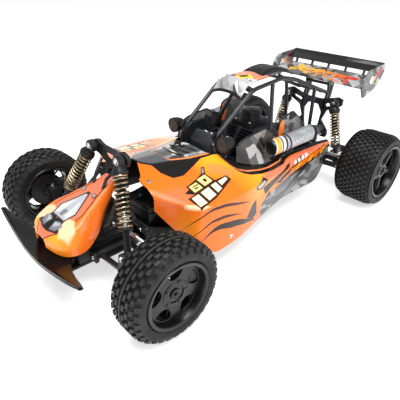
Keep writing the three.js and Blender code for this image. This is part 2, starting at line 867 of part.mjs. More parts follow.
function roofPanel() {
  const rows = [
    [172, [[20.5, 142], [12, 145], [0, 146]]],
    [186, [[20.5, 155], [12, 158], [0, 159]]],
    [215, [[18, 157.5], [11, 160], [0, 161]]],
    [247, [[16.5, 158], [10, 159.5], [0, 160]]],
  ];
  const scoop = [
    [212, 158],
    [221, 161],
    [232, 163.5],
    [248, 162.5],
    [266, 157.5],
    [279, 152],
    [277, 150],
    [262, 155.5],
    [246, 157],
  ];
  return join(skin(rows.map(([y, half]) => section(y, half))), plate("x", scoop, -14, 14));
}

// End plates, a main plane and a raised flap behind it, held together by webs across the slot.
function rearWing() {
  const endPlate = [
    [347, 119.5],
    [338, 135],
    [349, 152.5],
    [391, 156],
    [392, 147],
    [387, 139],
    [372, 127],
  ];
  const mainPlane = [
    [339, 132],
    [352, 133.5],
    [375, 140],
    [374, 142.5],
    [354, 138],
    [339, 135.5],
  ];
  const flap = [
    [372, 147],
    [376, 146],
    [391, 153.5],
    [392, 157],
    [389, 157],
  ];
  const web = [
    [370, 139],
    [374, 139.5],
    [377, 148],
    [373, 148.5],
  ];
  const ribs = [-52, -26, 0, 26, 52].map((x) => plate("x", web, x - 1, x + 1));
  return join(
    plate("x", endPlate, 68.4, 70.4),
    plate("x", endPlate, -70.4, -68.4),
    plate("x", mainPlane, -69, 69),
    plate("x", flap, -69, 69),
    ...ribs,
  );
}

function bodyPanels() {
  add("front_bumper", bumper(), GLOSS);
  add("nose_cowl", noseCowl(), ORANGE);
  add("body_shell", bodyShell(), ORANGE);
  add("cockpit_liner", cockpitLiner(), CAMO);
  add("roof_panel", roofPanel(), CAMO);
  add("rear_wing", rearWing(), CAMO);
}

// ---- Roll cage, lamps and exhausts ----
function rollCage() {
  const side = (sign) => {
    const at = ([x, y, z]) => [sign * x, y, z];
    const rail = [
      [30, 132, 22],
      [30, 132, 64],
      [24.2, 131, 107.5],
      [25.3, 187, 150],
      [20.7, 245, 152.8],
      [20, 270, 147],
      [22, 310, 131],
      [22, 341, 119],
    ];
    const post = [
      [22.4, 224, 151.8],
      [41, 204, 98],
      [41, 204, 22],
    ];
    const stay = [
      [22, 312, 130],
      [19, 317, 70],
    ];
    return [rail, post, stay].map((points) => pipe(points.map(at)));
  };
  const across = [
    [25.3, 187, 150],
    [20.7, 245, 152.8],
    [22, 335, 121.5],
  ].map(([x, y, z]) => pipe([[-x, y, z], [x, y, z]]));
  return join(...side(1), ...side(-1), ...across);
}

function lamp() {
  const can = turned(
    [
      [0, 2],
      [7, 2],
      [7.4, 0],
      [8.4, 0],
      [8.4, 6],
      [6, 14],
      [0, 14],
    ],
    [39, 129, 107.5],
    [0, 1, 0],
    16,
  );
  return join(can, bar([34, 139, 109], [27.8, 139, 112], 1.8));
}

function exhaust() {
  const can = [
    [0, 0],
    [7.6, 0],
    [8.8, 3],
    [8.8, 68],
    [5.5, 78],
    [3.5, 86],
    [0, 86],
  ];
  return turned(can, [56.6, 187, 93.5], [5.4, 82, 4.2], 16);
}

function fittings() {
  add("roll_cage", rollCage(), BLACK);
  addPair("lamp", lamp(), BLACK);
  addPair("exhaust", exhaust(), SILVER);
}

wheels();
uprights();
links();
shocks();
driveTrain();
innerParts();
bodyPanels();
fittings();

export default car;
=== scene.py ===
import math

import bmesh
import bpy
from mathutils import Matrix, Vector


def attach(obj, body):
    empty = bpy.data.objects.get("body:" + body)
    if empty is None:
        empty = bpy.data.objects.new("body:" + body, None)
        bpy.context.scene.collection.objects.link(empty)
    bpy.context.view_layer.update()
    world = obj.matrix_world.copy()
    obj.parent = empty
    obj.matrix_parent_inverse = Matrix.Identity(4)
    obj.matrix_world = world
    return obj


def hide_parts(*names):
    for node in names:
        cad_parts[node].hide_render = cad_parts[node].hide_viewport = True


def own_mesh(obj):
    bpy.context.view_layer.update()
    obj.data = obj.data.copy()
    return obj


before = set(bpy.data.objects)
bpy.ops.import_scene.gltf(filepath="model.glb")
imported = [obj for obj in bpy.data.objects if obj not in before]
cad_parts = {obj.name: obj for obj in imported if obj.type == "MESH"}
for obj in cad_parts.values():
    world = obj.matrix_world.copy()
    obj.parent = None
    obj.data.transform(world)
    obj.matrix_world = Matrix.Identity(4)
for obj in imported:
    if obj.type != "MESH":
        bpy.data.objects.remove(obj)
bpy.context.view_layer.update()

# ---- Driving dimensions ----
MM = 0.001
WHEELBASE = 328
TYRE_RADIUS = 45
FRONT_WHEEL = {"x": 108.6, "y": 0, "half": 17.4, "lip": 30.5, "disc": 9}
REAR_WHEEL = {"x": 106.7, "y": WHEELBASE, "half": 23.6, "lip": 33.3, "disc": 14}
FRONT_SHOCK = {"top": (23, 18.4, 118.8), "foot": (61, -4, 50), "cup": 57.5, "can_end": 44}
REAR_SHOCK = {
    "top": (36.5, WHEELBASE + 13, 107.3),
    "foot": (51, WHEELBASE + 13, 44),
    "cup": 54.5,
    "can_end": 42.8,
}
TO_FRAME = Matrix.Translation((0, -WHEELBASE / 2 * MM, 0)) @ Matrix.Scale(MM, 4)
SIDES = {"left": 1, "right": -1}
SMOOTH_ANGLE = math.radians(32)
# The spur gear stands on the right of the gear case.
SPUR_Y = WHEELBASE - 38
SPUR_REACH = 19
# The camera: place in metres, then azimuth, elevation and roll in degrees.
CAMERA_PLACE = (0.30544, -0.31217, 0.26957)
CAMERA_TURN = (47.41, 30.68, 0.46)
CAMERA_LENS = 36.86
CAMERA_SHIFT = (0.0054, 0.0036)
# The world's light: where it starts and stops fading with height, and its strength at each.
WORLD_FADE = (0.12, 0.42, 1.0, 0.4)


# ---- Shapes: each function returns a mesh in millimetres ----
def mesh_from(builder):
    mesh = bpy.data.meshes.new("shape")
    builder.to_mesh(mesh)
    builder.free()
    return mesh


def mesh_of_curve(curve):
    """The mesh that a curve's fill, extrusion and bevel make."""
    holder = bpy.data.objects.new("holder", curve)
    bpy.context.scene.collection.objects.link(holder)
    bpy.context.view_layer.update()
    evaluated = holder.evaluated_get(bpy.context.evaluated_depsgraph_get())
    mesh = bpy.data.meshes.new_from_object(evaluated)
    bpy.data.objects.remove(holder)
    bpy.data.curves.remove(curve)
    return mesh


def rounded(points, reach, closed=False, steps=4):
    """The points with each corner cut back by reach and filled with a curve."""
    points = [Vector(p) for p in points]
    if reach <= 0:
        return points
    count = len(points)
    result = []
    for i, point in enumerate(points):
        if not closed and i in (0, count - 1):
            result.append(point)
            continue
        before, after = points[i - 1], points[(i + 1) % count]
        cut_in = min(reach, 0.45 * (before - point).length)
        cut_out = min(reach, 0.45 * (after - point).length)
        start = point + (before - point).normalized() * cut_in
        end = point + (after - point).normalized() * cut_out
        for k in range(steps + 1):
            t = k / steps
            result.append(start * (1 - t) ** 2 + point * 2 * t * (1 - t) + end * t**2)
    return result


AXIS_TURNS = {
    "x": Matrix(((0, 0, 1), (1, 0, 0), (0, 1, 0))).to_4x4(),
    "y": Matrix(((1, 0, 0), (0, 0, -1), (0, 1, 0))).to_4x4(),
    "z": Matrix.Identity(4),
}


def prism(axis, outline, start, end, bevel=0.5, holes=(), corner=0.0):
    """A flat outline with holes, extruded along an axis with bevelled rims."""
    curve = bpy.data.curves.new("outline", "CURVE")
    curve.dimensions = "2D"
    curve.fill_mode = "BOTH"
    bevel = min(bevel, (end - start) * 0.45)
    curve.extrude = (end - start) / 2 - bevel
    curve.bevel_depth = bevel
    curve.bevel_resolution = 1
    curve.offset = -bevel
    for loop in (outline, *holes):
        points = rounded(loop, corner, closed=True)
        spline = curve.splines.new("POLY")
        spline.points.add(len(points) - 1)
        for target, point in zip(spline.points, points):
            target.co = (point[0], point[1], 0, 1)
        spline.use_cyclic_u = True
    mesh = mesh_of_curve(curve)
    middle = Vector([(start + end) / 2 if name == axis else 0 for name in "xyz"])
    mesh.transform(Matrix.Translation(middle) @ AXIS_TURNS[axis])
    return mesh


def tube(points, radius, bend=0.0, sides=4, closed=False):
    """A round bar through the points, bent smoothly at the corners."""
    curve = bpy.data.curves.new("path", "CURVE")
    curve.dimensions = "3D"
    curve.bevel_depth = radius
    curve.bevel_resolution = sides
    curve.use_fill_caps = True
    path = rounded(points, bend, closed)
    spline = curve.splines.new("POLY")
    spline.points.add(len(path) - 1)
    for target, point in zip(spline.points, path):
        target.co = (*point, 1)
    spline.use_cyclic_u = closed
    return mesh_of_curve(curve)


def aim(direction):
    """The turn that takes +Z to a direction."""
    return Vector(direction).to_track_quat("Z", "Y").to_matrix().to_4x4()


def lathe(profile, start, direction, sides=40):
    """A profile of (radius, height) points turned about a line."""
    builder = bmesh.new()
    rings = []
    for radius, height in profile:
        if radius < 1e-6:
            rings.append([builder.verts.new((0, 0, height))] * sides)
            continue
        angles = [2 * math.pi * i / sides for i in range(sides)]
        rings.append([builder.verts.new((
            radius * math.cos(a), radius * math.sin(a), height
        )) for a in angles])
    for low, high in zip(rings, rings[1:]):
        for i in range(sides):
            j = (i + 1) % sides
            corners = list(dict.fromkeys((low[i], low[j], high[j], high[i])))
            if len(corners) > 2:
                builder.faces.new(corners)
    bmesh.ops.recalc_face_normals(builder, faces=builder.faces)
    mesh = mesh_from(builder)
    mesh.transform(Matrix.Translation(start) @ aim(direction))
    return mesh


def box(low, high, bevel=0.6):
    """A block between two corners, with bevelled edges."""
    builder = bmesh.new()
    bmesh.ops.create_cube(builder, size=1)
    size = Vector(high) - Vector(low)
    for vertex in builder.verts:
        vertex.co = Vector([(low[i] + high[i]) / 2 + vertex.co[i] * size[i] for i in range(3)])
    bmesh.ops.bevel(
        builder, geom=builder.edges, offset=min(
            bevel, min(size) * 0.4
        ), segments=2, affect="EDGES", profile=0.6
    )
    return mesh_from(builder)


def helix(radius, low, high, turns, wire, start, direction):
    """A coil spring with closed ends, along a line from start."""
    steps = int(turns * 24)
    points = []
    for i in range(steps + 1):
        t = i / steps
        ease = max(0.0, min(1.0, (t * turns - 0.8) / (turns - 1.6)))
        angle = 2 * math.pi * turns * t
        height = low + wire * 1.2 * min(1, t * turns) + (high - low - wire * 2.4) * ease
        points.append((radius * math.cos(angle), radius * math.sin(angle), height))
    mesh = tube(points, wire, sides=2)
    mesh.transform(Matrix.Translation(start) @ aim(direction))
    return mesh


def skin(rows, thickness):
    """A closed skin: a grid of outer points, thickened inwards."""
    builder = bmesh.new()
    grid = [[builder.verts.new(point) for point in row] for row in rows]
    for low, high in zip(grid, grid[1:]):
        for i in range(len(low) - 1):
            builder.faces.new((low[i], low[i + 1], high[i + 1], high[i]))
    bmesh.ops.recalc_face_normals(builder, faces=builder.faces)
    if sum(face.normal.z * face.calc_area() for face in builder.faces) < 0:
        bmesh.ops.reverse_faces(builder, faces=builder.faces)
    bmesh.ops.solidify(builder, geom=builder.faces[:], thickness=thickness)
    return mesh_from(builder)


def between(a, b, c, d, t):
    """A point on the smooth line through four values, between b and c."""
    return 0.5 * (2 * b + (c - a) * t + (2 * a - 5 * b + 4 * c - d) * t**2 + (3 * b - a - 3 * c + d) * t**3)


def loft(sections, reaches, steps=4, turn_steps=3):
    """Fine rows through half sections given as (y, [(x, z), ...]) from the edge to the middle.

    reaches is how far each inner corner is rounded off.
    """
    fine = []
    for i in range(len(sections) - 1):
        four = [sections[max(0, min(len(sections) - 1, k))] for k in (i - 1, i, i + 1, i + 2)]
        for k in range(steps):
            t = k / steps
            y = between(*[s[0] for s in four], t)
            half = [
                [between(*[s[1][j][axis] for s in four], t) for axis in (0, 1)]
                for j in range(len(sections[0][1]))
            ]
            fine.append((y, half))
    fine.append(sections[-1])
    rows = []
    for y, half in fine:
        points = [Vector(p) for p in half]
        whole = points + [Vector((-p[0], p[1])) for p in reversed(points[:-1])]
        row = [whole[0]]
        corner_reach = [*reaches, reaches[-1] * 1.5, *reversed(reaches)]
        for j in range(1, len(whole) - 1):
            point, before, after = whole[j], whole[j - 1], whole[j + 1]
            reach = corner_reach[j - 1]
            start = point + (before - point).normalized() * min(reach, 0.45 * (before - point).length)
            end = point + (after - point).normalized() * min(reach, 0.45 * (after - point).length)
            for k in range(turn_steps + 1):
                t = k / turn_steps
                row.append(start * (1 - t) ** 2 + point * 2 * t * (1 - t) + end * t**2)
        row.append(whole[-1])
        rows.append([(p[0], y, p[1]) for p in row])
    return rows


def polar(radius, degrees):
    return (radius * math.cos(math.radians(degrees)), radius * math.sin(math.radians(degrees)))


def circle(radius, centre=(0, 0), sides=64):
    return [Vector(centre) + Vector(polar(radius, 360 * i / sides)) for i in range(sides)]


def screw(place, direction, radius=1.9, flange=0.0):
    """A button-head screw with a hexagonal socket, and a washer flange if asked for."""
    height = radius * 0.75
    profile = [(
        0, -1
    ), (radius, -1), (radius, height * 0.35), (radius * 0.82, height * 0.85), (radius * 0.5, height)]
    if flange:
        profile = [(0, -1), (flange, -1), (flange, 0.1), (flange * 0.94, 0.4), (radius, 0.5), *profile[2:]]
    socket = [(radius * 0.46, height), (radius * 0.42, height * 0.3), (0, height * 0.2)]
    return lathe([*profile, *socket], place, direction, 24)


def nut(place, direction, radius=3.4, height=3.0):
    """A hexagonal nut with a chamfer, and the end of its stud."""
    profile = [(0, 0), (radius * 0.92, 0), (radius, 0.4), (radius, height - 0.4), (radius * 0.85, height)]
    inner = [(
        radius * 0.5, height
    ), (radius * 0.46, height - 0.4), (radius * 0.44, height + 1.2), (0, height + 1.5)]
    return lathe([*profile, *inner], place, direction, 6)


def eye(centre, outer, width, bore, direction=(0, 1, 0)):
    """A ring with rounded shoulders about a pin."""
    half = width / 2
    soft = min(0.7, half * 0.4)
    profile = [
        (bore, -half),
        (outer - soft, -half),
        (outer, -half + soft),
        (outer, half - soft),
        (outer - soft, half),
        (bore, half),
        (bore, -half),
    ]
    return lathe(profile, centre, direction, 24)


# ---- Putting shapes in the scene ----
def assemble(name, shapes, body, nodes=(), mirror=False):
    """One object from (mesh, material) pairs, riding on a body and standing for CAD nodes."""
    builder = bmesh.new()
    materials = []
    for mesh, material in shapes:
        if material not in materials:
            materials.append(material)
        start = len(builder.faces)
        builder.from_mesh(mesh)
        builder.faces.ensure_lookup_table()
        for i in range(start, len(builder.faces)):
            builder.faces[i].material_index = materials.index(material)
            builder.faces[i].smooth = True
    whole = bpy.data.meshes.new(name)
    builder.to_mesh(whole)
    builder.free()
    if mirror:
        whole.transform(Matrix.Scale(-1, 4, (1, 0, 0)))
        whole.flip_normals()
    whole.transform(TO_FRAME)
    for material in materials:
        whole.materials.append(material)
    whole.set_sharp_from_angle(angle=SMOOTH_ANGLE)
    piece = bpy.data.objects.new(name, whole)
    bpy.context.scene.collection.objects.link(piece)
    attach(piece, body)
    if nodes:
        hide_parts(*nodes)
    return piece


def fixed(name, shapes):
    """A piece of the chassis body that stands for the CAD node of the same name."""
    return assemble(f"{name}.detail", shapes, "chassis", [name])


def both_sides(name, shapes, body, fixed_body=False):
    """The left piece and its mirror image, standing for the CAD nodes NAME_left and NAME_right."""
    pieces = {}
    for side, sign in SIDES.items():
        rides_on = body if fixed_body else f"{body}_{side}"
        node = f"{name}_{side}"
        pieces[side] = assemble(f"{node}.detail", shapes, rides_on, [node], sign < 0)
    return pieces


# ---- Materials ----
def tint(red, green, blue):
    """A colour given as it looks on a screen, from 0 to 255, as shader values."""
    channels = [c / 255 for c in (red, green, blue)]
    return (*[c / 12.92 if c <= 0.04045 else ((c + 0.055) / 1.055) ** 2.4 for c in channels], 1)


def grey(level):
    return tint(level, level, level)


class Paint:
    """One material's nodes.

    x, y and z are millimetres from the front axle, and side is x without its sign.
    """

    def __init__(self, name, **values):
        self.material = bpy.data.materials.new(name)
        self.material.use_nodes = True
        self.tree = self.material.node_tree
        self.shader = self.tree.nodes["Principled BSDF"]
        for key, value in values.items():
            self.shader.inputs[key.replace("_", " ")].default_value = value
        self.place = self.node("ShaderNodeTexCoord").outputs["Object"]
        mapping = self.node("ShaderNodeMapping", self.place)
        mapping.inputs["Location"].default_value = (0, WHEELBASE / 2, 0)
        mapping.inputs["Scale"].default_value = (1 / MM,) * 3
        self.point = mapping.outputs[0]
        split = self.node("ShaderNodeSeparateXYZ", self.point)
        self.x, self.y, self.z = split.outputs
        self.side = self.math("ABSOLUTE", self.x)

    def node(self, kind, *values, **settings):
        made = self.tree.nodes.new(kind)
        for key, value in settings.items():
            setattr(made, key, value)
        for socket, value in zip(made.inputs, values):
            self.give(socket, value)
        return made

    def give(self, socket, value):
        if isinstance(value, bpy.types.NodeSocket):
            self.tree.links.new(value, socket)
        elif value is not None:
            socket.default_value = value

    def math(self, operation, *values, clamp=False):
        return self.node("ShaderNodeMath", *values, operation=operation, use_clamp=clamp).outputs[0]

    def noise(self, scale, detail=2.0, roughness=0.5, vector=None):
        """Cloudy noise from 0 to 1, with features of about 1 / scale metres."""
        made = self.node("ShaderNodeTexNoise", self.place if vector is None else vector)
        made.inputs["Scale"].default_value = scale
        made.inputs["Detail"].default_value = detail
        made.inputs["Roughness"].default_value = roughness
        return made.outputs["Fac"]

    def spread(self, value, low, high, to_low=0.0, to_high=1.0):
        """value's stretch from low to high, mapped to another stretch and held at its ends."""
        return self.node("ShaderNodeMapRange", value, low, high, to_low, to_high).outputs[0]

    def mix(self, factor, first, second, mode="MIX"):
        made = self.node("ShaderNodeMix", data_type="RGBA", blend_type=mode)
        for name, value in (("Factor_Float", factor), ("A_Color", first), ("B_Color", second)):
            self.give(next(s for s in made.inputs if s.identifier == name), value)
        return next(s for s in made.outputs if s.identifier == "Result_Color")

    def facets(self, scale, shades, stretch=(1, 1, 1), turn=(0.5, 0.4, 0.7)):
        """Flat grey shards with straight edges, as in a geometric camouflage print."""
        mapping = self.node("ShaderNodeMapping", self.place)
        mapping.inputs["Rotation"].default_value = turn
        mapping.inputs["Scale"].default_value = stretch
        cells = self.node("ShaderNodeTexVoronoi", mapping.outputs[0])
        cells.inputs["Scale"].default_value = scale
        spot = mapping.outputs[0]
        offset = self.node("ShaderNodeVectorMath", spot, cells.outputs["Position"], operation="SUBTRACT")
        split = self.node("ShaderNodeSeparateXYZ", offset.outputs[0])
        tilted = self.math(
            "ADD", self.math("ADD", *split.outputs[:2]), self.math("MULTIPLY", split.outputs[2], 0.7)
        )
        half = self.math("MULTIPLY", self.math("GREATER_THAN", tilted, 0.0), 0.47)
        pick = self.node("ShaderNodeSeparateColor", cells.outputs["Color"]).outputs[0]
        ramp = self.node("ShaderNodeValToRGB", self.math("FRACT", self.math("ADD", pick, half)))
        ramp.color_ramp.interpolation = "CONSTANT"
        steps = ramp.color_ramp.elements
        steps[0].color = shades[0]
        steps[1].position = 1 / len(shades)
        steps[1].color = shades[1]
        for i, shade in list(enumerate(shades))[2:]:
            steps.new(i / len(shades)).color = shade
        return ramp.outputs[0]

    def shape(self, across, up, corners, soft=0.35):
        """1 inside a convex outline of (across, up) points, 0 outside."""
        area = sum(a[0] * b[1] - b[0] * a[1] for a, b in zip(corners, [*corners[1:], corners[0]]))
        sign = 1 if area > 0 else -1
        inside = None
        for a, b in zip(corners, [*corners[1:], corners[0]]):
            edge = Vector((b[0] - a[0], b[1] - a[1])).normalized() * sign
            offset = edge.y * a[0] - edge.x * a[1]
            partial = self.math("MULTIPLY_ADD", across, -edge.y, offset)
            reach = self.math("MULTIPLY_ADD", up, edge.x, partial)
            inside = reach if inside is None else self.math("MINIMUM", inside, reach)
        return self.spread(inside, -soft, soft)

    def line(self, across, up, points, width, soft=0.3):
        """1 on a smooth line up = f(across) through the points, which tapers to its ends."""
        low, high = points[0][0], points[-1][0]
        where = self.spread(across, low, high)
        curve = self.node("ShaderNodeFloatCurve", 1.0, where)
        curve.mapping.clip_max_y = 1
        track = curve.mapping.curves[0]
        tall = [(p[0] - low) / (high - low) for p in points], [p[1] / 160 for p in points]
        track.points[0].location = (tall[0][0], tall[1][0])
        track.points[1].location = (tall[0][-1], tall[1][-1])
        for a, b in zip(tall[0][1:-1], tall[1][1:-1]):
            track.points.new(a, b)
        curve.mapping.update()
        away = self.math("ABSOLUTE", self.math("MULTIPLY_ADD", curve.outputs[0], -160.0, up))
        taper = self.math("SINE", self.math("MULTIPLY", where, math.pi))
        half = self.math("MULTIPLY", taper, width / 2)
        return self.spread(self.math("SUBTRACT", half, away), -soft, soft)

    def height(self, across, points):
        """f(across) through the points, in millimetres."""
        low, high = points[0][0], points[-1][0]
        curve = self.node("ShaderNodeFloatCurve", 1.0, self.spread(across, low, high))
        track = curve.mapping.curves[0]
        track.points[0].location = (0, points[0][1] / 160)
        track.points[1].location = (1, points[-1][1] / 160)
        for a, b in points[1:-1]:
            track.points.new((a - low) / (high - low), b / 160)
        for point in track.points:
            point.handle_type = "VECTOR"
        curve.mapping.update()
        return self.math("MULTIPLY", curve.outputs[0], 160.0)

    def inside(self, axis_height):
        """1 on faces that look inwards, to the vehicle's middle line at a height."""
        normal = self.node("ShaderNodeNewGeometry").outputs["True Normal"]
        flat = self.node(
            "ShaderNodeVectorMath", self.point, Vector((1, 0, 1)), operation="MULTIPLY"
        ).outputs[0]
        middle = Vector((0, 0, axis_height))
        from_line = self.node("ShaderNodeVectorMath", flat, middle, operation="SUBTRACT").outputs[0]
        facing = self.node(
            "ShaderNodeVectorMath", normal, from_line, operation="DOT_PRODUCT"
        ).outputs["Value"]
        return self.spread(facing, -1.0, 1.0, 1.0, 0.0)

    def both(self, first, second):
        return self.math("MULTIPLY", first, second)

    def near(self, centre, radius, soft):
        """1 near a point, on both sides of the vehicle, fading out over soft."""
        folded = self.node("ShaderNodeCombineXYZ", self.side, self.y, self.z).outputs[0]
        away = self.node(
            "ShaderNodeVectorMath", folded, Vector(centre), operation="DISTANCE"
        ).outputs["Value"]
        return self.spread(away, radius - soft, radius + soft, 1.0, 0.0)

    def bump(self, height, strength, distance):
        made = self.node("ShaderNodeBump")
        made.inputs["Strength"].default_value = strength
        made.inputs["Distance"].default_value = distance
        self.give(made.inputs["Height"], height)
        self.give(self.shader.inputs["Normal"], made.outputs[0])

    def worn_edges(self, amount=1.0):
        """1 along sharp outer edges, broken up by noise."""
        edges = self.node("ShaderNodeNewGeometry").outputs["Pointiness"]
        sharp = self.spread(edges, 0.52, 0.6, 0.0, amount)
        return self.both(sharp, self.spread(self.noise(900, 3), 0.4, 0.65))

    def finish(self, color, roughness):
        self.give(self.shader.inputs["Base Color"], color)
        self.give(self.shader.inputs["Roughness"], roughness)
        return self.material


def plastic(name, dark, light, rough=(0.32, 0.5), grain=0.25, edge=0.6, **values):
    """Moulded plastic: fine grain, slow changes of shade and paler rubbed edges."""
    paint = Paint(name, **values)
    color = paint.mix(paint.noise(55, 3), dark, light)
    rubbed = tuple(min(1, c * 2.2 + 0.03) for c in light[:3])
    color = paint.mix(paint.worn_edges(edge), color, (*rubbed, 1))
    paint.bump(paint.noise(4200, 2), grain, 0.00006)
    return paint.finish(color, paint.spread(paint.noise(140, 4), 0.3, 0.7, *rough))


def metal(name, dark, light, rough=(0.18, 0.34), scale=1500, **values):
    """Bright metal with fine scratches and a few duller patches."""
    paint = Paint(name, Metallic=1.0, **values)
    stretched = paint.node("ShaderNodeMapping", paint.place)
    stretched.inputs["Scale"].default_value = (1, 1, 0.12)
    streaks = paint.noise(scale, 3, vector=stretched.outputs[0])
    color = paint.mix(paint.spread(streaks, 0.3, 0.7), dark, light)
    color = paint.mix(paint.spread(paint.noise(120, 4), 0.55, 0.8, 0, 0.5), color, dark)
    paint.bump(streaks, 0.15, 0.00004)
    return paint.finish(color, paint.spread(paint.noise(300, 3), 0.3, 0.7, *rough))


def rubber(name):
    """Tyre rubber: dull, with moulding grain, a painted highlight on the tread tops, paler worn edges and
    spots of dust.
    """
    paint = Paint(name, Specular_IOR_Level=0.26)
    # Both axles lie half a wheelbase from the middle, at the height of a tyre's radius.
    fold = paint.math("ABSOLUTE", paint.math("SUBTRACT", paint.y, WHEELBASE / 2))
    ahead = paint.math("SUBTRACT", fold, WHEELBASE / 2)
    above = paint.math("SUBTRACT", paint.z, TYRE_RADIUS)
    squares = paint.math("ADD", paint.both(ahead, ahead), paint.both(above, above))
    # Painted highlight: the tops of the tread are made a lighter grey, as glints on the blocks.
    tops = paint.spread(paint.math("SQRT", squares), TYRE_RADIUS - 2.2, TYRE_RADIUS - 0.5)
    color = paint.mix(paint.noise(60, 4), tint(9, 9, 10), tint(20, 20, 21))
    color = paint.mix(paint.both(tops, 0.7), color, tint(48, 48, 50))
    color = paint.mix(paint.worn_edges(0.5), color, tint(68, 68, 68))
    dust = paint.both(paint.spread(paint.noise(35, 5), 0.52, 0.75), 0.22)
    color = paint.mix(dust, color, tint(66, 64, 62))
    grain = paint.math("ADD", paint.noise(2600, 3), paint.both(paint.noise(500, 2), 0.6))
    paint.bump(grain, 0.3, 0.0001)
    return paint.finish(color, paint.spread(paint.noise(90, 3), 0.3, 0.7, 0.42, 0.66))


ORANGE = tint(250, 124, 20)
DEEP_ORANGE = tint(240, 104, 22)
AMBER = tint(253, 166, 38)
SALMON = tint(238, 120, 84)
# A painted highlight: the bright cream line along the flank's crease.
CREASE_HIGHLIGHT = tint(252, 226, 178)
INK = tint(22, 19, 18)
WARM_INK = tint(58, 28, 14)
GREYS = [grey(level) for level in (40, 104, 74, 142, 56, 92, 120, 66)]
# Lines in plan, as (y, x): the black surround of the cowl, its piping and the step in front of it.
COWL_EDGE = [
    (36, 0), (47, 0), (50, 9), (58, 15), (60, 27), (67, 37), (79, 38), (94, 33), (111, 27.5), (137, 31.5)
]
PIPING = [(36, 0), (77, 0), (79, 14), (82, 16.5), (100, 22.5), (114, 25), (137, 30)]
STEP = [(36, 0), (49, 0), (52, 6), (60, 12.5), (79, 16)]
DOOR_EDGE = [(126, 30), (129, 44), (131, 56), (135, 65), (142, 69.5), (155, 72), (175, 72), (196, 69.5)]
DOOR_EDGE += [(206, 64.5), (217, 62), (245, 61), (302, 60)]


def printed(paint, color, rough=(0.12, 0.24)):
    """Printed film under clear polycarbonate: gloss with a little orange peel."""
    paint.bump(paint.noise(420, 2), 0.06, 0.0002)
    return paint.finish(color, paint.spread(paint.noise(110, 3), 0.3, 0.7, *rough))


def dots(paint, across, up, pitch):
    """A halftone of dots on a slanted grid."""
    waves = [
        paint.math("COSINE", paint.math("MULTIPLY", paint.math(op, across, up), 2 * math.pi / pitch))
        for op in ("ADD", "SUBTRACT")
    ]
    return paint.spread(paint.math("ADD", *waves), 0.7, 1.1)


def stacked(paint, color, layers):
    """Each (mask, colour) laid over the last."""
    for mask, layer in layers:
        color = paint.mix(mask, color, layer)
    return color


def badge_place(along, up):
    """A spot on the badge in plan: along it, towards the tail, and up it, towards the middle."""
    return (82 - 0.22 * along - 0.975 * up, 62 + 0.975 * along - 0.22 * up)


def badge(top):
    """Blank cream blocks in two rows on a dark plate, with a black shard before them."""
    place = lambda corners: top([badge_place(*corner) for corner in corners])
    layers = [
        (top([(60.5, 61), (65, 68), (44, 96)]), INK),
        (place([(36, 26), (43, 25), (52, 33), (49, 35)]), WARM_INK),
        (place([(38, 26), (42, 26), (49.5, 32.5), (48.5, 33.5)]), tint(150, 150, 150)),
    ]
    plates = [[
        (-2, -1.6), (22, -1.6), (57, 4), (58, 11), (38, 15.5), (0, 15)
    ], [(10.5, 14), (43, 13), (44, 28.5), (13, 27)]]
    layers += [(place(corners), WARM_INK) for corners in plates]
    blocks = [
        [(0, 1), (10, 0.4), (13.5, 13), (3.5, 13.4)],
        [(14, 1), (26, 1.4), (29.5, 12.8), (17.5, 13.2)],
        [(30, 2), (38, 3), (41, 12.2), (33.4, 12.6)],
        [(42, 5.6), (54, 6.8), (55.4, 10), (43.6, 11.2)],
        [(13, 16.5), (25, 16), (26.5, 25), (15.5, 25.5)],
        [(28.4, 16), (40.4, 15.5), (42.4, 26), (30.4, 26.8)],
    ]
    for i, corners in enumerate(blocks):
        layers.append((place(corners), tint(250, 236, 196) if i < 4 else tint(248, 222, 140)))
    notches = [
        [(17, 19), (22, 18.6), (22.6, 20.4), (17.6, 20.8)],
        [(17.6, 22), (25.4, 21.4), (25.8, 22.8), (18, 23.4)],
        [(33.4, 19), (37, 18.8), (38, 23), (34.2, 23.2)],
    ]
    layers += [(place(corners), WARM_INK) for corners in notches]
    return layers


